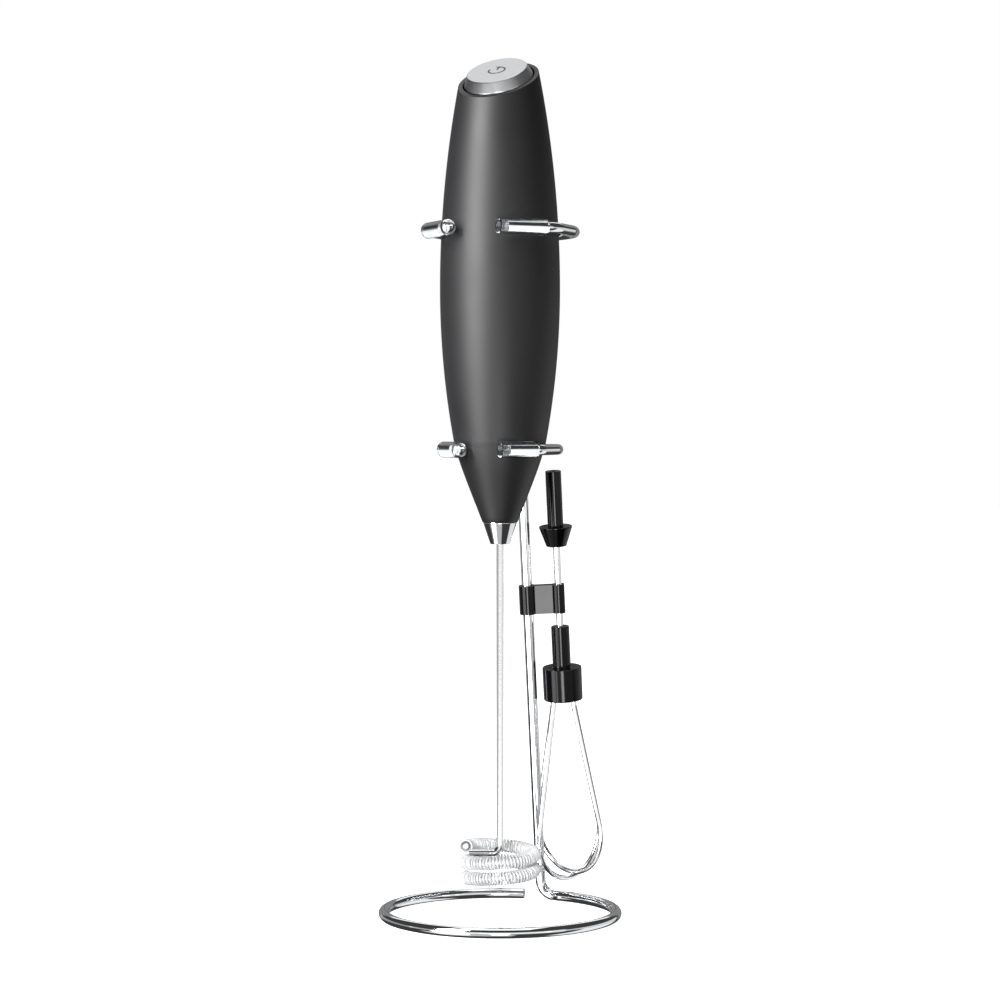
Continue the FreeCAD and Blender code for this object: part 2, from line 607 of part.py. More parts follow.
plate_low = f"{end_low} + contact_gap"
negative_plate = node(contact_plate(
    "negative_plate", "- cell_x - contact_half_x", "- cell_x + contact_half_x", plate_low,
    f"{plate_low} + contact_t"))
spring_room = "contact_room - contact_t - contact_gap - 2 * spring_wire_r - 2 * spring_gap"
negative_spring = spring(
    "negative_spring", "spring_r", "spring_wire_r", "spring_pitch", spring_room,
    Placement(Vector(-size("cell_x"), 0, sheet_value(
        f"{plate_low} + contact_t + spring_wire_r + spring_gap")), Rotation()))
positive_plate = node(fuse(
    "positive_plate",
    contact_plate("positive_leaf", "cell_x - contact_half_x", "cell_x + contact_half_x",
                  plate_low, f"{plate_low} + contact_t"),
    cylinder("positive_dome", "nub_r - dome_in", "contact_room - 2 * contact_gap", x="cell_x",
             z=plate_low)))
bridge_plate = node(fuse(
    "bridge_plate",
    contact_plate("bridge_leaf", "- cell_x - contact_half_x", "cell_x + contact_half_x",
                  f"{end_high} - contact_gap - contact_t", f"{end_high} - contact_gap"),
    cylinder("bridge_dome", "nub_r - dome_in", "contact_room - 2 * contact_gap", x="- cell_x",
             z=f"{cell_top} + contact_gap")))
bridge_spring = spring(
    "bridge_spring", "spring_r", "spring_wire_r", "spring_pitch", spring_room,
    Placement(Vector(size("cell_x"), 0, sheet_value(
        f"{cell_top} + spring_wire_r + spring_gap")), Rotation()))

# ---------------------------------------------------------------- top cap, switch and button


def top_piece(item, rise=0.0):
    """Put an object built at the origin in the slanted top's frame."""
    for axis in "xyz":
        item.setExpression(f"Placement.Base.{axis}", None)
    item.Placement = top_frame(rise=rise)
    return item


cap_slab = top_piece(cylinder("cap_slab", "25", "cap_t"), -size("cap_drop") - size("cap_t"))
cap_disc = common("cap_disc", core, cap_slab)
cap_opening = doc.addObject("Part::Box", "cap_opening")
opening_half = size("switch_half") + size("switch_gap")
bind(cap_opening, Length="2 * ( switch_half + switch_gap )",
     Width="2 * ( switch_half + switch_gap )", Height="20")
cap_opening.Placement = top_frame(-opening_half, -opening_half, -15)
top_cap = node(cut("top_cap", cap_disc, cap_opening))
board_top = -(size("cap_drop") + size("cap_t") + size("board_gap"))
switch_board = node(doc.addObject("Part::Box", "switch_board"))
bind(switch_board, Length="2 * board_half_x", Width="2 * board_half_y", Height="board_t")
switch_board.Placement = top_frame(
    -size("board_half_x"), -size("board_half_y"), board_top - size("board_t"))
switch_block = doc.addObject("Part::Box", "switch_block")
switch_depth = "cap_drop + cap_t + board_gap - switch_top"
bind(switch_block, Length="2 * switch_half", Width="2 * switch_half", Height=switch_depth)
switch_block.Placement = top_frame(-size("switch_half"), -size("switch_half"), board_top)
plunger_hole = top_piece(
    cylinder("plunger_hole", "plunger_r + plunger_gap", "20"),
    -size("button_boss_len") - size("plunger_len") - size("button_travel")
    - 2 * size("plunger_gap"))
switch_body = node(cut("switch_body", switch_block, plunger_hole))
switch_plunger = node(top_piece(
    cylinder("switch_plunger", "plunger_r", "plunger_len"),
    -size("button_boss_len") - size("plunger_len")))


def oval(label, half_x, half_y, rise):
    """An oval outline with its long axis up the slope."""
    item = doc.addObject("Part::Ellipse", label)
    bind(item, MajorRadius=half_y, MinorRadius=half_x)
    item.Placement = Placement(Vector(0, 0, rise), Rotation(Vector(0, 0, 1), 90))
    return item


def oval_loft(label, *outlines):
    item = doc.addObject("Part::Loft", label)
    item.Sections = list(outlines)
    item.Solid = True
    item.Ruled = True
    return item


button_cap = oval_loft(
    "button_cap",
    oval("button_skirt_oval", "button_half_x", "button_half_y", -size("button_skirt")),
    oval("button_rim_oval", "button_half_x", "button_half_y", 0),
    oval("button_face_oval", "button_face_x", "button_face_y", size("button_height")))
button_boss = cylinder("button_boss", "button_boss_r", "button_boss_len", z="- button_boss_len")
mark_room = "mark_line / 2"


def mark_piece(label):
    """The on-off mark: an open ring and a short bar, let into the button's face."""
    ring = cut(
        f"{label}_ring",
        cylinder(f"{label}_outer", f"mark_r + {mark_room}", "mark_depth"),
        cylinder(f"{label}_inner", f"mark_r - {mark_room}", "mark_depth"),
        box(f"{label}_break", ("- mark_break_half", "mark_break_half"), ("0", "10"),
            ("-1", "2")))
    bar = box(f"{label}_bar", (f"- {mark_room}", mark_room), ("0", "mark_r + mark_line"),
              ("0", "mark_depth"))
    both = doc.addObject("Part::Compound", label)
    both.Links = [ring, bar]
    return both


mark_recess = mark_piece("mark_recess")
mark_recess.Placement.Base = Vector(0, 0, size("button_height") - size("mark_depth"))
power_button = node(cut(
    "power_button", fuse("button_blank", button_cap, button_boss), mark_recess))
power_button.Placement = top_frame()
power_mark = node(mark_piece("power_mark"))
power_mark.Placement = top_frame(rise=size("button_height") - size("mark_depth"))
spring_height = "cap_drop - button_skirt - 2 * button_spring_gap"
button_spring = node(top_piece(cut(
    "button_spring",
    cylinder("spring_outside", "button_spring_r + button_spring_wire_r", spring_height),
    cylinder("spring_inside", "button_spring_r - button_spring_wire_r", spring_height)),
    -size("cap_drop") + size("button_spring_gap")))

# ---------------------------------------------------------------- leads
for name, sign in (("lead_red", 1), ("lead_black", -1)):
    x = sign * size("lead_x")
    start = top_frame(rise=board_top - size("board_t") - size("lead_gap")).Base
    low_z = sheet_value(f"{cap_top} + terminal_len / 2 + 2 * lead_gap")
    tray_top = sheet_value(tray_high)
    points = [
        Vector(x, start.y, start.z - size("lead_drop")),
        Vector(x, start.y - size("lead_step"), tray_top + size("lead_high")),
        Vector(x, size("lead_y"), tray_top + size("lead_low")),
        Vector(x, size("lead_y"), low_z), Vector(x, size("terminal_y") - size("lead_gap"), low_z)]
    radii = [size("lead_bend_r"), size("lead_bend_r"), size("lead_r") * 2]
    node(rod(name, corner_path(points, radii), size("lead_r")))

# ---------------------------------------------------------------- accessory clip and spare whisk
clip_centre = Vector(0, post_y(size("clip_z")), size("clip_z"))
view_way = Vector(-spoke_way.x, -spoke_way.y, 0)
clip_side = (view_way - post_up * view_way.dot(post_up)).normalize()
clip_rotation = Rotation(clip_side, post_up.cross(clip_side), post_up, "ZXY")
clip_frame = Placement(clip_centre, clip_rotation)

clip_low = "- clip_height / 2"
post_bore_r = "wire_d / 2 + run_gap"
rod_bore_r = "rod_r + run_gap"
clip_blank = fuse(
    "clip_blank",
    cylinder("clip_post_tube", f"{post_bore_r} + clip_post_wall", "clip_height", z=clip_low),
    cylinder("clip_rod_tube", f"{rod_bore_r} + clip_rod_wall", "clip_height", x="clip_offset",
             z=clip_low),
    box("clip_web", ("wire_d / 2 + clip_post_wall / 2", "clip_offset - rod_r - clip_rod_wall / 2"),
        ("- clip_web_t / 2", "clip_web_t / 2"), (clip_low, "clip_height / 2")))
accessory_clip = node(cut(
    "accessory_clip", clip_blank,
    cylinder("clip_post_bore", post_bore_r, "clip_height + 2", z=f"{clip_low} - 1"),
    cylinder("clip_rod_bore", rod_bore_r, "clip_height + 2", x="clip_offset", z=f"{clip_low} - 1"),
    box("clip_mouth", ("clip_offset", "clip_offset + 10"),
        ("- rod_r - clip_mouth_gap", "rod_r + clip_mouth_gap"),
        (f"{clip_low} - 1", "clip_height / 2 + 1"))))
accessory_clip.Placement = clip_frame
whisk_frame = Placement(clip_frame.multVec(Vector(size("clip_offset"), 0, 0)), clip_rotation)

coupler = node(turned("coupler", [
    ("0", "coupler_top - socket_depth"), ("shaft_r + run_gap", "coupler_top - socket_depth"),
    ("shaft_r + run_gap", "coupler_top"), ("coupler_r", "coupler_top"),
    ("coupler_r", "collar_top"), ("collar_top_r", "collar_top"),
    ("collar_bottom_r", "collar_bottom"), ("rod_r + press_gap", "collar_bottom"),
    ("rod_r + press_gap", "rod_top + press_gap"), ("0", "rod_top + press_gap")]))
coupler.Placement = whisk_frame
balloon_rod = node(cylinder("balloon_rod", "rod_r", "rod_top - rod_bottom", z="rod_bottom"))
for axis in "xyz":
    balloon_rod.setExpression(f"Placement.Base.{axis}", None)
balloon_rod.Placement = whisk_frame * Placement(Vector(0, 0, size("rod_bottom")), Rotation())

hub_blank = turned("hub_blank", [
    ("rod_r + press_gap", "hub_top"), ("hub_neck_r", "hub_top"), ("hub_neck_r", "cup_top"),
    ("cup_r", "cup_top"), ("cup_r", "cup_bottom"), ("0", "cup_bottom"),
    ("0", "rod_bottom - press_gap"), ("rod_r + press_gap", "rod_bottom - press_gap")])
root_holes = []
for x, y in (("1", "1"), ("-1", "1"), ("-1", "-1"), ("1", "-1")):
    root_holes.append(cylinder(
        f"root_hole_{len(root_holes)}", "loop_wire_r + press_gap", "loop_root_depth + 1",
        x=f"{x} * loop_root_r / sqrt(2)", y=f"{y} * loop_root_r / sqrt(2)",
        z="cup_bottom - 1"))
balloon_hub = node(cut("balloon_hub", hub_blank, *root_holes))
balloon_hub.Placement = whisk_frame


def balloon_loop(label, turn_deg, bottom):
    """One wire loop: two roots in the hub, straight sides and a round bottom."""
    way = Rotation(Vector(0, 0, 1), turn_deg).multVec(Vector(1, 0, 0))
    belly = size("loop_belly_r")
    centre_z = bottom + belly
    root_top = size("cup_bottom") + size("loop_root_depth") - size("loop_root_gap")
    root = Vector(size("loop_root_r"), root_top, 0)
    bend = Vector(size("loop_root_r"), size("cup_bottom") - size("loop_bend_drop"), 0)
    to_centre = Vector(0, centre_z, 0) - bend
    reach = math.sqrt(to_centre.Length ** 2 - belly ** 2)
    side = math.atan2(to_centre.y, to_centre.x) + math.asin(belly / to_centre.Length)
    touch = bend + Vector(math.cos(side), math.sin(side), 0) * reach

    def place(point, sign=1):
        return whisk_frame.multVec(way * (sign * point.x) + Vector(0, 0, point.y))

    into = corner_path([place(root), place(bend), place(touch)], [size("loop_bend_r")])
    back = corner_path(
        [place(touch, -1), place(bend, -1), place(root, -1)], [size("loop_bend_r")])
    arc = Part.Arc(place(touch), place(Vector(0, bottom, 0)), place(touch, -1)).toShape()
    return node(rod(label, into + [arc] + back, size("loop_wire_r")))


balloon_loop("balloon_loop_outer", 45, size("loop_bottom"))
balloon_loop(
    "balloon_loop_inner", -45,
    size("loop_bottom") + 2 * size("loop_wire_r") + size("loop_gap"))

# ---------------------------------------------------------------- checks and files
doc.recompute()
for item in doc.Objects:
    if "Invalid" in item.State or "Error" in item.State:
        raise RuntimeError(f"{item.Label} failed: {item.State}")
labels = [item.Label for item in NODES]
if len(set(labels)) != len(labels):
    raise RuntimeError("two sub-parts share a name")
os.makedirs("parts", exist_ok=True)
for item in NODES:
    if item.Shape.isNull() or not item.Shape.isValid() or item.Shape.Volume <= 0:
        raise RuntimeError(f"{item.Label} has no sound shape")
for item in NODES:
    item.Shape.exportStep(f"parts/{item.Label}.step")
    print(f"{item.Label}: {len(item.Shape.Solids)} solid, {item.Shape.Volume:.1f} mm3")
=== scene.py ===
import math

import bpy
from mathutils import Matrix, Vector


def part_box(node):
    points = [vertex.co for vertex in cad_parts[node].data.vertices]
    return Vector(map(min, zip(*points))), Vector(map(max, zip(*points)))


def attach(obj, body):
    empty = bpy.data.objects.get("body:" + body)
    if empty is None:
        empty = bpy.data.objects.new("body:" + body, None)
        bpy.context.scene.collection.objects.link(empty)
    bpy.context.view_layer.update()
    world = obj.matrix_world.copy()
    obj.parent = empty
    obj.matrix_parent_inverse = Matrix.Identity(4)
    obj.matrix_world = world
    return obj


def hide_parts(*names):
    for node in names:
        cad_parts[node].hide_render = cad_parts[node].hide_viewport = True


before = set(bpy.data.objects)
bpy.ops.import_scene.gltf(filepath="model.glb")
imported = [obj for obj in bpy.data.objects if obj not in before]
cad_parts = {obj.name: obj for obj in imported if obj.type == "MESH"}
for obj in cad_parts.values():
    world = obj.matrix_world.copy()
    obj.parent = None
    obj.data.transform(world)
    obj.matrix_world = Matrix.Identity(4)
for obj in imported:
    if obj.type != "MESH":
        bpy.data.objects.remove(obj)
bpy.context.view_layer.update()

# ---------------------------------------------------------------- stand: ring and post
# One 3 mm steel wire, bent into a flat ring and up into a leaning post, then bright chrome plated.
# The ring's loose end is sheared off a few millimetres short of the foot bend.


def mm(*numbers):
    """Millimetres to metres, one number or a point."""
    if len(numbers) == 1:
        return numbers[0] / 1000
    return Vector([number / 1000 for number in numbers])


def srgb(text):
    """A #RRGGBB colour as the linear colour that a shader takes."""
    shares = [int(text[i:i + 2], 16) / 255 for i in (1, 3, 5)]
    linear = [s / 12.92 if s <= 0.04045 else ((s + 0.055) / 1.055) ** 2.4 for s in shares]
    return (*linear, 1.0)


def add_node(owner, kind, links=(), stops=(), **settings):
    """Add a node to a material or world. Links are (socket, source node, its output), stops are a
    ramp's (position, colour), and a setting is the name of a property or socket and its value.
    A texture's Scale counts features per metre, so 1000 draws one to a millimetre."""
    node = owner.node_tree.nodes.new(kind)
    if stops:
        elements = node.color_ramp.elements
        while len(elements) < len(stops):
            elements.new(0.5)
        for element, (position, colour) in zip(elements, stops):
            element.position = position
            element.color = colour
    for name, value in settings.items():
        if hasattr(node, name):
            setattr(node, name, value)
        else:
            node.inputs[name.replace("_", " ")].default_value = value
    for socket, source, output in links:
        owner.node_tree.links.new(source.outputs[output], node.inputs[socket])
    return node


def new_material(name):
    material = bpy.data.materials.new(name)
    material.use_nodes = True
    material.node_tree.nodes.clear()
    return material


def finish_material(material, links, **settings):
    """Close a material with its shader; each setting is a number or colour on the shader."""
    shader = add_node(material, "ShaderNodeBsdfPrincipled", links, **settings)
    add_node(material, "ShaderNodeOutputMaterial", [("Surface", shader, "BSDF")])
    return material


def grey(share):
    return (share, share, share, 1.0)


def place(item, body, material, *nodes):
    """Give a finished piece its material, its body and the CAD nodes that it stands for."""
    item.data.materials.clear()
    item.data.materials.append(material)
    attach(item, body)
    if nodes:
        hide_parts(*nodes)
    return item


def smooth(item, degrees=35):
    bpy.ops.object.select_all(action="DESELECT")
    item.select_set(True)
    bpy.context.view_layer.objects.active = item
    bpy.ops.object.shade_smooth_by_angle(angle=math.radians(degrees))
    modifier = item.modifiers.new("Weighted Normal", "WEIGHTED_NORMAL")
    modifier.keep_sharp = True
    bpy.ops.object.modifier_apply(modifier=modifier.name)


def apply_modifier(item, kind, **settings):
    """Add a modifier, set it and apply it."""
    bpy.ops.object.select_all(action="DESELECT")
    item.select_set(True)
    bpy.context.view_layer.objects.active = item
    modifier = item.modifiers.new(kind.title(), kind)
    for name, value in settings.items():
        setattr(modifier, name, value)
    bpy.ops.object.modifier_apply(modifier=modifier.name)


def ease_edges(item, width_mm, degrees=40, segments=2):
    """Take the sharpness off a piece's edges."""
    apply_modifier(
        item, "BEVEL", width=mm(width_mm), segments=segments, limit_method="ANGLE",
        angle_limit=math.radians(degrees), harden_normals=False)


def rounded(points, radii, step_degrees=6):
    """A polyline with each inner corner turned into an arc of the given radius."""
    path = [points[0].copy()]
    for index, radius in enumerate(radii, start=1):
        corner = points[index]
        into = (corner - points[index - 1]).normalized()
        out = (points[index + 1] - corner).normalized()
        half_turn = into.angle(out) / 2
        run = radius * math.tan(half_turn)
        centre = corner + (out - into).normalized() * radius / math.cos(half_turn)
        axis = into.cross(out).normalized()
        spoke = corner - into * run - centre
        steps = max(2, round(math.degrees(2 * half_turn) / step_degrees))
        for step in range(steps + 1):
            turn = Matrix.Rotation(2 * half_turn * step / steps, 3, axis)
            point = centre + turn @ spoke
            if (point - path[-1]).length > 1e-6:
                path.append(point)
    path.append(points[-1].copy())
    return path


def bent_wire(name, path, radius, sides=6, end_ease_mm=0.25):
    """A round wire along a path, with its cut ends slightly rounded."""
    bpy.ops.object.select_all(action="DESELECT")
    bpy.ops.curve.primitive_nurbs_path_add(location=(0, 0, 0))
    wire = bpy.context.object
    wire.name = name
    wire.data.splines.clear()
    spline = wire.data.splines.new("POLY")
    spline.points.add(len(path) - 1)
    for point, spot in zip(spline.points, path):
        point.co = (*spot, 1.0)
    wire.data.dimensions = "3D"
    wire.data.twist_mode = "MINIMUM"
    wire.data.bevel_depth = radius
    wire.data.bevel_resolution = sides
    wire.data.use_fill_caps = True
    bpy.ops.object.convert(target="MESH")
    wire = bpy.context.object
    bpy.ops.object.mode_set(mode="EDIT")
    bpy.ops.mesh.select_all(action="SELECT")
    bpy.ops.mesh.remove_doubles(threshold=1e-7)
    bpy.ops.mesh.normals_make_consistent(inside=False)
    bpy.ops.object.mode_set(mode="OBJECT")
    if end_ease_mm:
        ease_edges(wire, end_ease_mm, degrees=60)
    smooth(wire, 50)
    return wire


def chrome_plate():
    """Bright chrome over polished steel wire: mirror-like, with a faint draw grain along it."""
    material = new_material("chrome_plated_wire")
    spot = add_node(material, "ShaderNodeTexCoord")
    grain = add_node(material, "ShaderNodeTexNoise", [("Vector", spot, "Object")],
                     Scale=900.0, Detail=3.0, Roughness=0.6)
    haze = add_node(material, "ShaderNodeValToRGB", [("Fac", grain, "Fac")],
                    stops=[(0.35, grey(0.035)), (0.75, grey(0.085))])
    bump = add_node(material, "ShaderNodeBump", [("Height", grain, "Fac")],
                    Strength=0.02, Distance=0.0002)
    return finish_material(
        material, [("Roughness", haze, "Color"), ("Normal", bump, "Normal")],
        Base_Color=srgb("#E9EBED"), Metallic=1.0)


chrome = chrome_plate()
wire_r = 1.5
ring_r = 32.6
foot_bend_r = 4.0
foot_angle = math.atan(ring_r / foot_bend_r)
ring_gap_angle = math.radians(9.0)
ring_end_angle = math.pi / 2 + ring_gap_angle - 2 * math.pi
foot = mm(0, ring_r / math.sin(foot_angle), wire_r)
knee = mm(0, 16.0, 131.0)
knee_bend_r = 25.0
post_top = mm(0, 20.0, 194.6)
post_up = (knee - foot).normalized()


def ring_point(angle):
    return mm(ring_r * math.cos(angle), ring_r * math.sin(angle), wire_r)


ring_steps = 160
ring_path = [
    ring_point(foot_angle + (ring_end_angle - foot_angle) * step / ring_steps)
    for step in range(ring_steps + 1)]
post_path = rounded(
    [post_top, knee, foot, ring_path[0]], [mm(knee_bend_r), mm(foot_bend_r) * 0.998])
stand_wire = bent_wire("stand_wire", post_path[:-1] + ring_path, mm(wire_r), sides=8)
place(stand_wire, "stand", chrome, "base_ring", "upright")

# ---------------------------------------------------------------- stand: the two open arms
# Each arm is a 3 mm wire bent round the back of the handle, with two ends that close in at 45
# degrees in front. It is welded behind the post and chromed with it.


def post_y(height):
    """The post's centre line at a height, with the round of its knee, in millimetres."""
    low, high = (foot, knee) if mm(height) <= knee.z else (knee, post_top)
    share = (mm(height) - low.z) / (high.z - low.z)
    run = knee_bend_r * math.tan((knee - foot).angle(post_top - knee) / 2)
    into_bend = max(run - abs(height - knee.z * 1000), 0)
    return (low.y + (high.y - low.y) * share) * 1000 + into_bend ** 2 / (2 * knee_bend_r)


def arm_path(height, half, line, bend, reach):
    """The arm's centre line: two ends, two front bends and the round back."""
    back_y = post_y(height) + 2 * wire_r + weld_gap
    inboard = Vector((-1, -1, 0)).normalized()
    tangent = Vector((line, -line, 0)) / math.sqrt(2) + Vector((0, 0, height))
    right = [tangent + inboard * reach, Vector((half, half - line * math.sqrt(2), height)),
             Vector((half, back_y, height))]
    left = [Vector((-point.x, point.y, point.z)) for point in reversed(right)]
    path = rounded(right + left, [bend, half - 0.001, half - 0.001, bend], 4)
    return [point / 1000 for point in path]


weld_gap = 0.1
sleeve_outer_r = 2.25
sleeve_stand_off = 0.3 + sleeve_outer_r
arms = {
    "upper": {"height": 192.0, "half": 19.6, "line": 16.8 + sleeve_stand_off, "bend": 6.0,
              "reach": 6.4, "sleeve": 14.4},
    "lower": {"height": 131.2, "half": 14.6, "line": 12.506 + sleeve_stand_off, "bend": 3.0,
              "reach": 4.0, "sleeve": 11.0},
}
for level, arm in arms.items():
    path = arm_path(arm["height"], arm["half"], arm["line"], arm["bend"], arm["reach"])
    arm_wire = bent_wire(f"{level}_arm_wire", path, mm(wire_r), sides=8)
    place(arm_wire, "stand", chrome, f"{level}_arm")

# ---------------------------------------------------------------- stand: weld beads
# A small fused bead fills the joint between post and arm, plated over with the rest, so it
# shines but keeps its slightly lumpy skin.
bead_r = 2.0
lump_height = 0.06
for level in arms:
    low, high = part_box(f"{level}_arm_weld")
    middle = (Vector(low) + Vector(high)) / 2
    bpy.ops.object.select_all(action="DESELECT")
    bpy.ops.mesh.primitive_uv_sphere_add(
        segments=32, ring_count=16, radius=mm(bead_r), location=middle)
    bead = bpy.context.object
    bead.name = f"{level}_weld_bead"
    bead.scale = (1.15, 0.8, 1.0)
    bpy.ops.object.transform_apply(location=True, rotation=True, scale=True)
    for vertex in bead.data.vertices:
        wave = math.sin(vertex.co.x * 3800) * math.sin(vertex.co.z * 4300)
        vertex.co += vertex.normal * mm(lump_height) * wave
    smooth(bead, 80)
    place(bead, "stand", chrome, f"{level}_arm_weld")

# ---------------------------------------------------------------- stand: clear sleeves
# Short lengths of clear soft PVC tube, cut square and pushed over the arms' ends so that they
# run a little past the wire. The wire looks as wide as the tube through its curved wall.


def turned(name, outline, frame_matrix=None, steps=96, angle=2 * math.pi, start=0.0):
    """Turn a closed outline of (radius, height) millimetres about Z."""
    bpy.ops.object.select_all(action="DESELECT")
    bpy.ops.mesh.primitive_circle_add(vertices=len(outline), radius=0.01, fill_type="NOTHING")
    item = bpy.context.object
    item.name = name
    for vertex, (radius, height) in zip(item.data.vertices, outline):
        vertex.co = Matrix.Rotation(start, 3, "Z") @ mm(radius, 0, height)
    bpy.ops.object.mode_set(mode="EDIT")
    bpy.ops.mesh.select_all(action="SELECT")
    bpy.ops.mesh.spin(steps=steps, angle=angle, center=(0, 0, 0), axis=(0, 0, 1))
    bpy.ops.mesh.select_all(action="SELECT")
    bpy.ops.mesh.remove_doubles(threshold=1e-7)
    bpy.ops.mesh.normals_make_consistent(inside=False)
    bpy.ops.object.mode_set(mode="OBJECT")
    if frame_matrix is not None:
        item.data.transform(frame_matrix)
    return item


def clear_pvc():
    """Clear plasticised PVC: glossy, almost colourless, with the slight haze of soft tube."""
    material = new_material("clear_soft_pvc")
    spot = add_node(material, "ShaderNodeTexCoord")
    cloud = add_node(material, "ShaderNodeTexNoise", [("Vector", spot, "Object")],
                     Scale=350.0, Detail=2.0)
    haze = add_node(material, "ShaderNodeValToRGB", [("Fac", cloud, "Fac")],
                    stops=[(0.4, grey(0.02)), (0.8, grey(0.07))])
    return finish_material(
        material, [("Roughness", haze, "Color")], Base_Color=srgb("#F6F8F9"),
        Transmission_Weight=1.0, IOR=1.52, Specular_IOR_Level=0.5)


pvc = clear_pvc()
sleeve_bore_r = 1.53
sleeve_past_wire = 2.5
for level, arm in arms.items():
    for side, sign in (("right", 1), ("left", -1)):
        way = Vector((-sign, -1, 0)).normalized()
        tip = Vector((sign * arm["line"], -arm["line"], 0)) / math.sqrt(2)
        tip += way * (arm["reach"] + sleeve_past_wire) + Vector((0, 0, arm["height"]))
        turn = Vector((0, 0, 1)).rotation_difference(-way).to_matrix().to_4x4()
        standing = Matrix.Translation(tip / 1000) @ turn
        length = arm["sleeve"]
        outline = [(sleeve_bore_r, 0), (sleeve_outer_r, 0), (sleeve_outer_r, length),
                   (sleeve_bore_r, length)]
        sleeve = turned(f"{level}_clear_sleeve_{side}", outline, standing, steps=48)
        ease_edges(sleeve, 0.12)
        smooth(sleeve)
        place(sleeve, "stand", pvc, f"{level}_sleeve_{side}")

# ---------------------------------------------------------------- handle: shell and rear cover
# Two ABS mouldings of 1.2 mm wall with a rubbery soft-touch coat. The rear slice is the battery
# cover, which meets the shell along a fine parting line.
belly_r = 16.75
belly_z = 176.0
upper_curve_r = 312.0
lower_curve_r = 237.0
shoulder_z = 129.5
shoulder_reach = 3.2
shoulder_ease = 0.45
nose_r = 4.9
nose_z = 110.9
wall = 1.2
top_slope = math.radians(28.5)
top_frame = Matrix.Translation(mm(0, -1.15, 234.0)) @ Matrix.Rotation(top_slope, 4, "X")


def barrel_r(height):
    """The handle's outer radius at a height, with the shoulder's edge rounded."""
    curve_r = upper_curve_r if height > belly_z else lower_curve_r
    reach = curve_r - math.sqrt(curve_r ** 2 - (max(height, shoulder_z) - belly_z) ** 2)
    radius = belly_r - reach
    shoulder_r = belly_r - lower_curve_r + math.sqrt(
        lower_curve_r ** 2 - (shoulder_z - belly_z) ** 2)
    cone_r = nose_r + (shoulder_r - nose_r) * (height - nose_z) / (shoulder_z - nose_z)
    if height > shoulder_z + shoulder_reach:
        return radius
    arc_r = belly_r - lower_curve_r + math.sqrt(lower_curve_r ** 2 - (height - belly_z) ** 2)
    smaller = math.log(math.exp(-cone_r / shoulder_ease) + math.exp(-arc_r / shoulder_ease))
    return -shoulder_ease * smaller + shoulder_ease * 0.02


def barrel(name):
    """The handle's wall as one closed turned shell, before its top is cut on the slant."""
    heights = [nose_z + 1.5 * step for step in range(13)]
    heights += [130.5 + 0.8 * step for step in range(5)]
    heights += [136.0 + 3.0 * step for step in range(36)] + [244.0]
    outside = [(barrel_r(z) if z > nose_z else nose_r, z) for z in heights]
    inside = [(radius - wall, z) for radius, z in reversed(outside)]
    return turned(name, outside + inside, steps=144)


def block(name, low, high, matrix=None):
    """A plain box from corner to corner in millimetres, used to cut with."""
    bpy.ops.object.select_all(action="DESELECT")
    bpy.ops.mesh.primitive_cube_add(size=1, location=(0, 0, 0))
    item = bpy.context.object
    item.name = name
    size = mm(*high) - mm(*low)
    middle = (mm(*high) + mm(*low)) / 2
    item.data.transform(Matrix.Translation(middle) @ Matrix.Diagonal((*size, 1)))
    if matrix is not None:
        item.data.transform(matrix)
    return item


def cut_with(item, tool, operation="DIFFERENCE"):
    """Cut a piece with another and throw the tool away."""
    apply_modifier(item, "BOOLEAN", operation=operation, object=tool, solver="EXACT")
    bpy.data.objects.remove(tool, do_unlink=True)


def soft_touch():
    """Polyurethane soft-touch coat on ABS: deep charcoal, satin, with a very fine dry grain.
    The real grain is under 0.1 mm, and is drawn at about 0.24 mm so that it still shows."""
    material = new_material("soft_touch_charcoal")
    spot = add_node(material, "ShaderNodeTexCoord")
    grain = add_node(material, "ShaderNodeTexNoise", [("Vector", spot, "Object")],
                     Scale=4200.0, Detail=2.0, Roughness=0.7)
    wear = add_node(material, "ShaderNodeTexNoise", [("Vector", spot, "Object")],
                    Scale=60.0, Detail=4.0, Roughness=0.55)
    tone = add_node(material, "ShaderNodeValToRGB", [("Fac", wear, "Fac")],
                    stops=[(0.3, srgb("#131315")), (0.75, srgb("#171719"))])
    sheen = add_node(material, "ShaderNodeValToRGB", [("Fac", wear, "Fac")],
                     stops=[(0.3, grey(0.50)), (0.8, grey(0.55))])
    bump = add_node(material, "ShaderNodeBump", [("Height", grain, "Fac")],
                    Strength=0.10, Distance=0.00006)
    return finish_material(
        material, [("Base Color", tone, "Color"), ("Roughness", sheen, "Color"),
                   ("Normal", bump, "Normal")], Specular_IOR_Level=0.5, IOR=1.5)


charcoal = soft_touch()
cover_face_y = 9.0
cover_low_z = 148.4
seam = 0.15
shell = barrel("handle_shell_coated")
cut_with(shell, block("top_waste", (-40, -40, 0), (40, 40, 40), top_frame))
bpy.ops.object.select_all(action="DESELECT")
shell.select_set(True)
bpy.context.view_layer.objects.active = shell
bpy.ops.object.duplicate()
cover = bpy.context.object
cover.name = "battery_cover_coated"
cut_with(shell, block("window", (-25, cover_face_y, cover_low_z), (25, 25, 260)))
cut_with(cover, block("slice", (-25, cover_face_y + seam, cover_low_z + seam), (25, 25, 260)),
         "INTERSECT")
for item, body, node in ((shell, "frother", "handle_shell"), (cover, "cover", "battery_cover")):
    ease_edges(item, 0.22, degrees=32)
    smooth(item, 32)
    place(item, body, charcoal, node)

# ---------------------------------------------------------------- power button
# A slanted oval ABS button with a satin silver coat, its sides leaning in to a flat face. It
# carries a round boss that presses the switch.


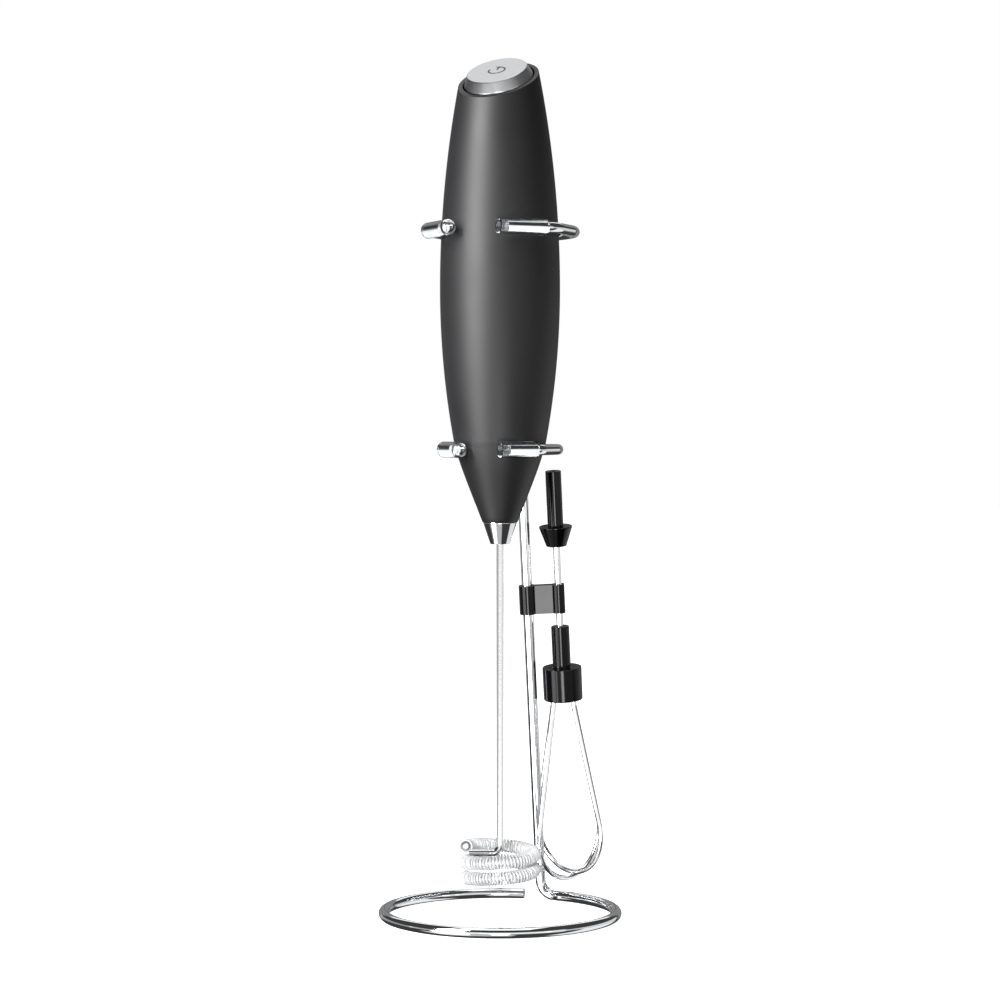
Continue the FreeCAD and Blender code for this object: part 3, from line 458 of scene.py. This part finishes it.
def silver_coat():
    """Satin silver lacquer with fine metal flake, faintly brushed across the slope."""
    material = new_material("satin_silver_lacquer")
    spot = add_node(material, "ShaderNodeTexCoord")
    stretch = add_node(material, "ShaderNodeMapping", [("Vector", spot, "Object")],
                       Scale=(60.0, 2400.0, 2400.0))
    brush = add_node(material, "ShaderNodeTexNoise", [("Vector", stretch, "Vector")],
                     Scale=1.0, Detail=3.0, Roughness=0.6)
    flake = add_node(material, "ShaderNodeTexNoise", [("Vector", spot, "Object")],
                     Scale=2500.0, Detail=2.0)
    tone = add_node(material, "ShaderNodeValToRGB", [("Fac", flake, "Fac")],
                    stops=[(0.3, srgb("#D0D1D3")), (0.7, srgb("#D8D9DB"))])
    haze = add_node(material, "ShaderNodeValToRGB", [("Fac", brush, "Fac")],
                    stops=[(0.3, grey(0.32)), (0.75, grey(0.38))])
    bump = add_node(material, "ShaderNodeBump", [("Height", brush, "Fac")],
                    Strength=0.015, Distance=0.0001)
    return finish_material(
        material, [("Base Color", tone, "Color"), ("Roughness", haze, "Color"),
                   ("Normal", bump, "Normal")], Metallic=0.85)


silver = silver_coat()
button_height = 2.8
face_half_x, face_half_y = 8.35, 9.2
foot_half_x, foot_half_y = 9.65, 10.55
skirt_depth = 0.5
boss_inset = 5.0
boss_depth = 2.1
bpy.ops.object.select_all(action="DESELECT")
bpy.ops.mesh.primitive_cylinder_add(vertices=128, radius=1, depth=1, location=(0, 0, 0))
button = bpy.context.object
button.name = "silver_button"
for vertex in button.data.vertices:
    if vertex.co.z > 0:
        vertex.co = mm(vertex.co.x * face_half_x, vertex.co.y * face_half_y, button_height)
    else:
        vertex.co = mm(vertex.co.x * foot_half_x, vertex.co.y * foot_half_y, 0)
bpy.ops.object.mode_set(mode="EDIT")
bpy.ops.mesh.select_all(action="DESELECT")
bpy.ops.mesh.select_mode(type="FACE")
bpy.ops.object.mode_set(mode="OBJECT")
for face in button.data.polygons:
    face.select = face.normal.z < -0.9
bpy.ops.object.mode_set(mode="EDIT")
bpy.ops.mesh.extrude_region_move(TRANSFORM_OT_translate={"value": mm(0, 0, -skirt_depth)})
bpy.ops.mesh.inset(thickness=mm(boss_inset))
bpy.ops.mesh.extrude_region_move(TRANSFORM_OT_translate={"value": mm(0, 0, -boss_depth)})
bpy.ops.mesh.select_mode(type="VERT")
bpy.ops.object.mode_set(mode="OBJECT")
ease_edges(button, 0.32, degrees=20, segments=3)
button.data.transform(top_frame)
smooth(button, 25)
place(button, "button", silver, "power_button")

# ---------------------------------------------------------------- on-off mark
# A generic broken ring with a short bar, printed dark on the button's face.


def dark_print():
    """Dark pad-printed ink, semi-matte, slightly uneven in density."""
    material = new_material("dark_printed_ink")
    spot = add_node(material, "ShaderNodeTexCoord")
    cloud = add_node(material, "ShaderNodeTexNoise", [("Vector", spot, "Object")],
                     Scale=1800.0, Detail=2.0)
    tone = add_node(material, "ShaderNodeValToRGB", [("Fac", cloud, "Fac")],
                    stops=[(0.3, srgb("#38393B")), (0.7, srgb("#4A4B4D"))])
    return finish_material(material, [("Base Color", tone, "Color")], Roughness=0.4)


ink = dark_print()
mark_r = 2.3
mark_line = 0.55
mark_low = button_height - 0.1
mark_high = button_height + 0.02
gap_angle = math.radians(24)
mark = turned(
    "on_off_mark",
    [(mark_r - mark_line / 2, mark_low), (mark_r + mark_line / 2, mark_low),
     (mark_r + mark_line / 2, mark_high), (mark_r - mark_line / 2, mark_high)],
    steps=40, angle=2 * math.pi - 2 * gap_angle, start=math.pi / 2 + gap_angle)
bpy.ops.object.mode_set(mode="EDIT")
bpy.ops.mesh.select_all(action="DESELECT")
bpy.ops.mesh.select_non_manifold()
bpy.ops.mesh.fill_holes(sides=8)
bpy.ops.object.mode_set(mode="OBJECT")
bar = block("mark_bar", (-mark_line / 2, 0.2, mark_low),
            (mark_line / 2, mark_r + 0.5, mark_high))
bpy.ops.object.select_all(action="DESELECT")
bar.select_set(True)
mark.select_set(True)
bpy.context.view_layer.objects.active = mark
bpy.ops.object.join()
mark.data.transform(top_frame)
place(mark, "button", ink, "power_mark")

# ---------------------------------------------------------------- nose cone
# A small turned and polished steel cone that closes the handle's lower end round the shaft.


def polished_steel():
    """Stainless steel, turned then polished: bright, with faint rings left by the lathe."""
    material = new_material("polished_turned_steel")
    spot = add_node(material, "ShaderNodeTexCoord")
    rings = add_node(material, "ShaderNodeTexWave", [("Vector", spot, "Object")],
                     Scale=1100.0, Distortion=1.5, Detail=2.0, bands_direction="Z")
    haze = add_node(material, "ShaderNodeValToRGB", [("Fac", rings, "Fac")],
                    stops=[(0.2, grey(0.06)), (0.9, grey(0.12))])
    bump = add_node(material, "ShaderNodeBump", [("Height", rings, "Fac")],
                    Strength=0.03, Distance=0.0001)
    return finish_material(
        material, [("Roughness", haze, "Color"), ("Normal", bump, "Normal")],
        Base_Color=srgb("#DCDEE0"), Metallic=1.0)


steel = polished_steel()
nose = turned("nose_cone", [
    (1.3, 104.8), (2.7, 104.8), (4.62, 110.45), (4.7, 110.6), (4.7, nose_z), (3.5, nose_z),
    (3.5, 114.0), (1.88, 114.0), (1.88, 107.5), (1.3, 107.5)], steps=96)
ease_edges(nose, 0.15, degrees=30)
smooth(nose, 30)
place(nose, "frother", steel, "tip_cone")

# ---------------------------------------------------------------- drive shaft
# A 2 mm bright stainless rod, bent sharply at the bottom into the spoke that carries the whisk.


def bright_wire():
    """Drawn stainless wire: bright, with light die lines."""
    material = new_material("bright_drawn_stainless")
    spot = add_node(material, "ShaderNodeTexCoord")
    grain = add_node(material, "ShaderNodeTexNoise", [("Vector", spot, "Object")],
                     Scale=1200.0, Detail=3.0)
    haze = add_node(material, "ShaderNodeValToRGB", [("Fac", grain, "Fac")],
                    stops=[(0.3, grey(0.12)), (0.8, grey(0.20))])
    return finish_material(
        material, [("Roughness", haze, "Color")], Base_Color=srgb("#F0F1F2"), Metallic=1.0)


stainless = bright_wire()
view_turn = math.radians(21.5)
spoke_way = Vector((-math.cos(view_turn), -math.sin(view_turn), 0))
coil_r = 9.6
spoke_z = 18.3
spoke_len = coil_r - 0.9
spoke_bend_r = 2.0
shaft_r = 1.0
shaft_top_z = 120.0
corner = mm(0, 0, spoke_z)
shaft_path = rounded(
    [mm(0, 0, shaft_top_z), corner, corner + spoke_way * mm(spoke_len)], [mm(spoke_bend_r)])
shaft = bent_wire("drive_shaft", shaft_path, mm(shaft_r), sides=6)
place(shaft, "whisk", stainless, "whisk_shaft")

# ---------------------------------------------------------------- spring whisk
# A fine stainless spring, threaded over a heavier ring wire that winds twice round the shaft's
# axis. The spring is what whips the milk. Its real turns are finer, and are drawn 0.85 mm apart
# so that they still show.
coil_turns = 2.0
coil_top_z = 20.0
coil_pitch = 4.3
spring_pitch = 0.85
spring_r = 1.72
spring_wire_r = 0.28


def coil_point(share):
    """A point on the whisk's line, falling from the spoke as it winds clockwise from above."""
    angle = math.pi + view_turn - 2 * math.pi * coil_turns * share
    height = coil_top_z - coil_pitch * coil_turns * share
    return mm(coil_r * math.cos(angle), coil_r * math.sin(angle), height)


coil_steps = 144
coil_line = [coil_point(step / coil_steps) for step in range(coil_steps + 1)]
ring_wire_r = 0.8
ring_wire = bent_wire("whisk_ring_wire", coil_line, mm(ring_wire_r), sides=3)
coil_length = sum((b - a).length for a, b in zip(coil_line, coil_line[1:]))
spring_turns = round(coil_length / mm(spring_pitch))
spring_path = []
points_per_turn = 14
for step in range(spring_turns * points_per_turn + 1):
    share = step / (spring_turns * points_per_turn)
    middle = coil_point(share)
    along = (coil_point(min(share + 0.001, 1.001)) - coil_point(share - 0.001)).normalized()
    outward = Vector((middle.x, middle.y, 0)).normalized()
    upward = along.cross(outward).normalized()
    wind = 2 * math.pi * step / points_per_turn
    spring_path.append(
        middle + (outward * math.cos(wind) + upward * math.sin(wind)) * mm(spring_r))
spring = bent_wire("whisk_spring", spring_path, mm(spring_wire_r), sides=1, end_ease_mm=0)
smooth(spring, 80)


def fine_spring_steel():
    """Fine spring wire, washed to a pale satin: brighter and softer than the plated parts."""
    material = new_material("satin_fine_spring_wire")
    spot = add_node(material, "ShaderNodeTexCoord")
    grain = add_node(material, "ShaderNodeTexNoise", [("Vector", spot, "Object")],
                     Scale=1500.0, Detail=2.0)
    haze = add_node(material, "ShaderNodeValToRGB", [("Fac", grain, "Fac")],
                    stops=[(0.3, grey(0.42)), (0.8, grey(0.56))])
    return finish_material(
        material, [("Roughness", haze, "Color")], Base_Color=srgb("#F4F5F6"), Metallic=0.35)


pale_wire = fine_spring_steel()
for item in (ring_wire, spring):
    place(item, "whisk", pale_wire)
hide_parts("whisk_coil")

# ---------------------------------------------------------------- accessory clip
# A glossy black moulding: a tube round the post, a flat web and an open tube that the spare
# whisk's rod snaps into from the side.


def gloss_black():
    """Injection-moulded ABS from a polished mould: deep black, glossy, barely rippled."""
    material = new_material("gloss_black_abs")
    spot = add_node(material, "ShaderNodeTexCoord")
    ripple = add_node(material, "ShaderNodeTexNoise", [("Vector", spot, "Object")],
                      Scale=260.0, Detail=2.0)
    haze = add_node(material, "ShaderNodeValToRGB", [("Fac", ripple, "Fac")],
                    stops=[(0.3, grey(0.10)), (0.8, grey(0.16))])
    bump = add_node(material, "ShaderNodeBump", [("Height", ripple, "Fac")],
                    Strength=0.03, Distance=0.0003)
    return finish_material(
        material, [("Roughness", haze, "Color"), ("Normal", bump, "Normal")],
        Base_Color=srgb("#08080A"), IOR=1.53, Specular_IOR_Level=0.2)


black = gloss_black()
clip_z = 88.0
clip_offset = 8.95
clip_half = 4.15
view_way = -spoke_way
clip_side = (view_way - post_up * view_way.dot(post_up)).normalized()
clip_front = post_up.cross(clip_side)
clip_frame = Matrix.Translation(mm(0, post_y(clip_z), clip_z)) @ Matrix(
    (clip_side, clip_front, post_up)).transposed().to_4x4()
rod_bore_r = 1.05
web_half = 1.1


def clip_tube(name, inner_r, outer_r, offset):
    """One of the clip's two tubes, at a distance from the post's axis."""
    outline = [(inner_r, -clip_half), (outer_r, -clip_half), (outer_r, clip_half),
               (inner_r, clip_half)]
    return turned(name, outline, Matrix.Translation(mm(offset, 0, 0)), steps=64)


clip = clip_tube("whisk_clip", 1.55, 2.4, 0)
rod_tube = clip_tube("rod_tube", rod_bore_r, 2.05, clip_offset)
web = block("web", (1.95, -web_half, -clip_half), (clip_offset - 1.5, web_half, clip_half))
mouth = block("mouth", (clip_offset, -web_half, -6), (clip_offset + 10, web_half, 6))
cut_with(clip, web, "UNION")
cut_with(clip, rod_tube, "UNION")
cut_with(clip, mouth)
ease_edges(clip, 0.18, degrees=40)
clip.data.transform(clip_frame)
smooth(clip, 35)
place(clip, "clip", black, "accessory_clip")

# ---------------------------------------------------------------- spare whisk: coupler
# A moulded black tube that pushes onto the drive shaft, with a conical collar to pull it by.
whisk_frame = clip_frame @ Matrix.Translation(mm(clip_offset, 0, 0))
coupler = turned("coupler_moulding", [
    (0, 24.9), (1.05, 24.9), (1.05, 36.9), (2.25, 36.9), (2.25, 21.0), (4.75, 21.0),
    (4.7, 20.5), (2.85, 15.2), (1.03, 15.2), (1.03, 22.53), (0, 22.53)], whisk_frame, steps=96)
ease_edges(coupler, 0.15, degrees=35)
smooth(coupler, 32)
place(coupler, "spare_whisk", black, "coupler")

# ---------------------------------------------------------------- spare whisk: rod and hub
# A 2 mm stainless rod joins the coupler to a glossy black hub, whose cup holds the wires' ends.
rod_top = 22.5
rod_bottom = -26.0
rod_ends = [whisk_frame @ mm(0, 0, rod_top), whisk_frame @ mm(0, 0, rod_bottom)]
rod = bent_wire("spare_whisk_rod", rod_ends, mm(shaft_r), sides=6)
place(rod, "spare_whisk", stainless, "balloon_rod")
hub = turned("hub_moulding", [
    (1.03, -8.1), (2.6, -8.1), (2.6, -20.0), (5.65, -20.0), (5.6, -29.6), (0, -29.6),
    (0, -26.03), (1.03, -26.03)], whisk_frame, steps=96)
ease_edges(hub, 0.3, degrees=35, segments=3)
smooth(hub, 30)
place(hub, "spare_whisk", black, "balloon_hub")

# ---------------------------------------------------------------- spare whisk: wire loops
# Two loops of 1.5 mm bright wire cross at the bottom, one just above the other, and are moulded
# into the hub's cup.
loop_belly_r = 12.6
loop_root_r = 4.0
loop_root_depth = 3.0
loop_bend_r = 6.0
loop_wire_r = 0.75
cup_bottom = -29.6


def loop_path(turn_degrees, bottom):
    """One loop's centre line, from a root in the cup round the bottom to the other root."""
    way = Matrix.Rotation(math.radians(turn_degrees), 3, "Z") @ Vector((1, 0, 0))
    centre_z = bottom + loop_belly_r
    bend = Vector((loop_root_r, cup_bottom - 1.0))
    to_centre = Vector((0, centre_z)) - bend
    reach = math.sqrt(to_centre.length ** 2 - loop_belly_r ** 2)
    side = math.atan2(to_centre.y, to_centre.x) + math.asin(loop_belly_r / to_centre.length)
    touch = bend + Vector((math.cos(side), math.sin(side))) * reach
    touch_angle = math.atan2(touch.y - centre_z, touch.x)
    root = Vector((loop_root_r, cup_bottom + loop_root_depth))
    down = rounded([Vector((spot.x, 0, spot.y)) for spot in (root, bend, touch)], [loop_bend_r])
    arc_steps = 40
    round_bottom = []
    for step in range(1, arc_steps):
        angle = touch_angle - (math.pi + 2 * touch_angle) * step / arc_steps
        round_bottom.append(Vector((
            loop_belly_r * math.cos(angle), 0, centre_z + loop_belly_r * math.sin(angle))))
    up = [Vector((-point.x, 0, point.z)) for point in reversed(down)]
    line = [way * point.x + Vector((0, 0, point.z)) for point in down + round_bottom + up]
    return [whisk_frame @ (point / 1000) for point in line]


for name, turn_degrees, bottom in (("outer", 45, -82.4), ("inner", -45, -80.75)):
    path = loop_path(turn_degrees, bottom)
    loop = bent_wire(f"balloon_wire_{name}", path, mm(loop_wire_r), sides=5)
    place(loop, "spare_whisk", stainless, f"balloon_loop_{name}")

# ---------------------------------------------------------------- inside pieces
# The frame's own pieces inside the handle: cells, contacts, motor, switch and leads. Each gets
# the finish of the real part, seen when the cover is off.


def moulded_plastic(name, low, high, roughness):
    """Plain moulded plastic with the fine spark texture of an unpolished mould."""
    material = new_material(name)
    spot = add_node(material, "ShaderNodeTexCoord")
    grain = add_node(material, "ShaderNodeTexNoise", [("Vector", spot, "Object")],
                     Scale=1500.0, Detail=3.0)
    tone = add_node(material, "ShaderNodeValToRGB", [("Fac", grain, "Fac")],
                    stops=[(0.3, srgb(low)), (0.7, srgb(high))])
    bump = add_node(material, "ShaderNodeBump", [("Height", grain, "Fac")],
                    Strength=0.15, Distance=0.0001)
    return finish_material(
        material, [("Base Color", tone, "Color"), ("Normal", bump, "Normal")],
        Roughness=roughness)


def plain_metal(name, low, high, roughness, scale=700.0):
    """Bare or plated metal with the light mottling of stamped or sintered stock."""
    material = new_material(name)
    spot = add_node(material, "ShaderNodeTexCoord")
    mottle = add_node(material, "ShaderNodeTexNoise", [("Vector", spot, "Object")],
                      Scale=scale, Detail=4.0)
    tone = add_node(material, "ShaderNodeValToRGB", [("Fac", mottle, "Fac")],
                    stops=[(0.3, srgb(low)), (0.7, srgb(high))])
    haze = add_node(material, "ShaderNodeValToRGB", [("Fac", mottle, "Fac")],
                    stops=[(0.3, grey(roughness)), (0.7, grey(roughness + 0.12))])
    return finish_material(
        material, [("Base Color", tone, "Color"), ("Roughness", haze, "Color")], Metallic=1.0)


def cell_jacket():
    """A plain AA cell: a dark printed jacket with a copper band at one end, bare nickel ends."""
    material = new_material("printed_cell_jacket")
    low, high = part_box("battery_left")
    spot = add_node(material, "ShaderNodeTexCoord")
    parts = add_node(material, "ShaderNodeSeparateXYZ", [("Vector", spot, "Object")])
    share = add_node(material, "ShaderNodeMapRange", [("Value", parts, "Z")],
                     From_Min=low[2], From_Max=high[2])
    tone = add_node(material, "ShaderNodeValToRGB", [("Fac", share, "Result")],
                    stops=[(0.0, srgb("#B9BBBD")), (0.035, srgb("#2B2C30")),
                           (0.72, srgb("#B06A34")), (0.965, srgb("#B9BBBD"))])
    tone.color_ramp.interpolation = "CONSTANT"
    scuff = add_node(material, "ShaderNodeTexNoise", [("Vector", spot, "Object")],
                     Scale=400.0, Detail=3.0)
    haze = add_node(material, "ShaderNodeValToRGB", [("Fac", scuff, "Fac")],
                    stops=[(0.3, grey(0.22)), (0.8, grey(0.36))])
    return finish_material(
        material, [("Base Color", tone, "Color"), ("Roughness", haze, "Color")], Metallic=0.6)


inner_black = moulded_plastic("moulded_inner_plastic", "#1C1C1D", "#262627", 0.5)
nickel = plain_metal("nickel_plated_strip", "#B9B4A6", "#CFCBBF", 0.22)
spring_wire = plain_metal("spring_wire", "#A9ABAD", "#C2C4C6", 0.2)
bronze = plain_metal("sintered_bronze", "#8A5F35", "#A87A4A", 0.4, 2500.0)
brass = plain_metal("turned_brass", "#B8944A", "#CDAA5E", 0.2)
zinc = plain_metal("zinc_plated_steel", "#A5A7A9", "#BFC1C3", 0.28, 300.0)
ferrite = plain_metal("ferrite_and_iron", "#2B2A2A", "#3D3A38", 0.5)
finishes = {
    inner_black: ["motor_mount", "motor_end_cap", "battery_tray", "top_cap", "switch_body",
                  "switch_plunger"],
    nickel: ["negative_plate", "positive_plate", "bridge_plate", "motor_brushes",
             "motor_terminals", "commutator"],
    spring_wire: ["negative_spring", "bridge_spring", "button_spring", "motor_shaft"],
    bronze: ["tip_bush", "motor_bearing"],
    brass: ["drive_coupling"],
    zinc: ["motor_can"],
    ferrite: ["motor_magnets", "rotor"],
    cell_jacket(): ["battery_left", "battery_right"],
    moulded_plastic("green_circuit_board", "#0E4A24", "#155A2E", 0.35): ["switch_board"],
    moulded_plastic("red_lead_pvc", "#8E1414", "#A51D1A", 0.4): ["lead_red"],
    moulded_plastic("black_lead_pvc", "#141414", "#1E1E1E", 0.4): ["lead_black"],
}
for material, names in finishes.items():
    for name in names:
        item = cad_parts[name]
        item.data.materials.clear()
        item.data.materials.append(material)

# ---------------------------------------------------------------- floor, light and camera
# A seamless white sweep in a plain studio: one soft box to the front left, a softer one overhead,
# and pale cards with dark gaps between them, which draw the edges of the chrome.


def white_sweep():
    """Matt white backdrop paper, lit evenly enough to look white all over."""
    material = new_material("white_backdrop_paper")
    spot = add_node(material, "ShaderNodeTexCoord")
    cloud = add_node(material, "ShaderNodeTexNoise", [("Vector", spot, "Object")], Scale=3.0)
    tone = add_node(material, "ShaderNodeValToRGB", [("Fac", cloud, "Fac")],
                    stops=[(0.0, grey(0.93)), (1.0, grey(0.95))])
    return finish_material(
        material, [("Base Color", tone, "Color")], Roughness=0.9, Specular_IOR_Level=0.1,
        Emission_Color=grey(1.0), Emission_Strength=0.95)


bpy.ops.object.select_all(action="DESELECT")
bpy.ops.mesh.primitive_plane_add(size=8.0, location=(0, 0, -0.0001))
floor = bpy.context.object
floor.name = "floor"
floor.data.materials.append(white_sweep())
floor.visible_glossy = False
floor.visible_diffuse = False

camera_turn = 21.5


def softbox(name, right_turn, distance, height, width, tall, level):
    """An area light facing the handle, turned round it by degrees to the right of the camera."""
    turn = math.radians(camera_turn + right_turn)
    spot = Vector((math.sin(turn) * distance, -math.cos(turn) * distance, height))
    bpy.ops.object.light_add(type="AREA", location=spot)
    light = bpy.context.object
    light.name = name
    light.data.shape = "RECTANGLE"
    light.data.size = width
    light.data.size_y = tall
    light.data.energy = level * math.pi * width * tall
    light.visible_camera = False
    aim = Vector((0, 0, 0.13)) - spot
    light.rotation_euler = aim.to_track_quat("-Z", "Y").to_euler()
    return light


# The key light is flagged off the small bright parts, which it would burn out, and a small fill
# light reaches the whisk's coil alone.
key = softbox("key_softbox", -50, 0.9, 0.46, 0.40, 0.90, 24.0)
flagged = bpy.data.collections.new("flagged_from_key")
key.light_linking.receiver_collection = flagged
for item in (button, mark, shaft, ring_wire, spring):
    flagged.objects.link(item)
for entry in flagged.collection_objects:
    entry.light_linking.link_state = "EXCLUDE"
fill = softbox("coil_fill", -15, 0.6, 0.25, 0.30, 0.30, 14.0)
filled = bpy.data.collections.new("lit_by_coil_fill")
fill.light_linking.receiver_collection = filled
for item in (ring_wire, spring):
    filled.objects.link(item)
softbox("top_softbox", 0, 0.10, 1.20, 0.90, 0.90, 1.6)

world = bpy.data.worlds.new("studio")
bpy.context.scene.world = world
world.use_nodes = True
world.node_tree.nodes.clear()


def card_window(source, output, low, high, edge):
    """A soft-edged window on a value from 0 to 1: white between low and high, black outside."""
    spots = (low - edge, low, high, high + edge)
    levels = (0.0, 1.0, 1.0, 0.0)
    stops = [(min(max(spot, 0.0), 1.0), grey(level)) for spot, level in zip(spots, levels)]
    return add_node(world, "ShaderNodeValToRGB", [("Fac", source, output)], stops)


where = add_node(world, "ShaderNodeTexCoord")
facing = add_node(world, "ShaderNodeMapping", [("Vector", where, "Generated")],
                  Rotation=(0, 0, math.radians(90 - camera_turn)))
around = add_node(world, "ShaderNodeTexGradient", [("Vector", facing, "Vector")],
                  gradient_type="RADIAL")
axes = add_node(world, "ShaderNodeSeparateXYZ", [("Vector", facing, "Vector")])
height = add_node(world, "ShaderNodeMapRange", [("Value", axes, "Z")], From_Min=-1.0)
cards = [
    # from, to (degrees right of the camera), lowest, highest (degrees up), brightness
    (-36, 2, -21, -10, 1.0),
    (2, 62, -21, -10, 0.5),
    (-150, -92, -10, 3, 0.3),
    (-92, -52, -10, 3, 0.48),
    (-52, -16, -10, 3, 0.63),
    (-16, 46, -10, 3, 0.88),
    (46, 140, -10, 3, 0.72),
    (-36, 62, 3, 14, 0.7),
    (-66, -34, -34, -13, 6.0),
    (88, 141, -60, -15, 0.95),
    (150, 184, 28, 64, 1.0),
    (-184, -150, 28, 64, 1.0),
    (150, 184, -12, 26, 0.2),
    (-184, -150, -12, 26, 0.2),
    (-5, 5, -30, -13, 14.0),
    (-88, -44, -60, -35, 0.95),
    (-44, 14, -60, -32, 0.58),
]
side_edge = 0.012
level_edge = 0.03
room_level = 0.05
total = add_node(world, "ShaderNodeValue")
total.outputs["Value"].default_value = room_level
for left, right, low, high, brightness in cards:
    wide = card_window(around, "Fac", 0.5 + left / 360, 0.5 + right / 360, side_edge)
    low_share, high_share = [
        0.5 + 0.5 * math.sin(math.radians(angle)) for angle in (low, high)]
    tall = card_window(height, "Result", low_share, high_share, level_edge)
    card = add_node(world, "ShaderNodeMath", [(0, wide, "Color"), (1, tall, "Color")],
                    operation="MULTIPLY")
    lit = add_node(world, "ShaderNodeMath", [(0, card, "Value"), (2, total, "Value")],
                   operation="MULTIPLY_ADD")
    lit.inputs[1].default_value = brightness
    total = lit
studio = add_node(world, "ShaderNodeBackground", [("Strength", total, "Value")],
                  Color=grey(1.0))
white = add_node(world, "ShaderNodeBackground", Color=grey(1.0))
path_kind = add_node(world, "ShaderNodeLightPath")
backdrop = add_node(world, "ShaderNodeMixShader", [
    (0, path_kind, "Is Camera Ray"), (1, studio, "Background"), (2, white, "Background")])
add_node(world, "ShaderNodeOutputWorld", [("Surface", backdrop, "Shader")])

bpy.context.scene.view_settings.view_transform = "Standard"
camera_distance = 0.782
camera_height = 0.137
aim_height = 0.1171
turn = math.radians(camera_turn)
bpy.ops.object.camera_add(
    location=(math.sin(turn) * camera_distance, -math.cos(turn) * camera_distance, camera_height),
    rotation=(math.pi / 2 - math.atan((camera_height - aim_height) / camera_distance), 0, turn))
camera = bpy.context.object
camera.data.lens = 100.8
camera.data.sensor_width = 36.0
camera.data.clip_start = 0.01
bpy.context.scene.camera = camera
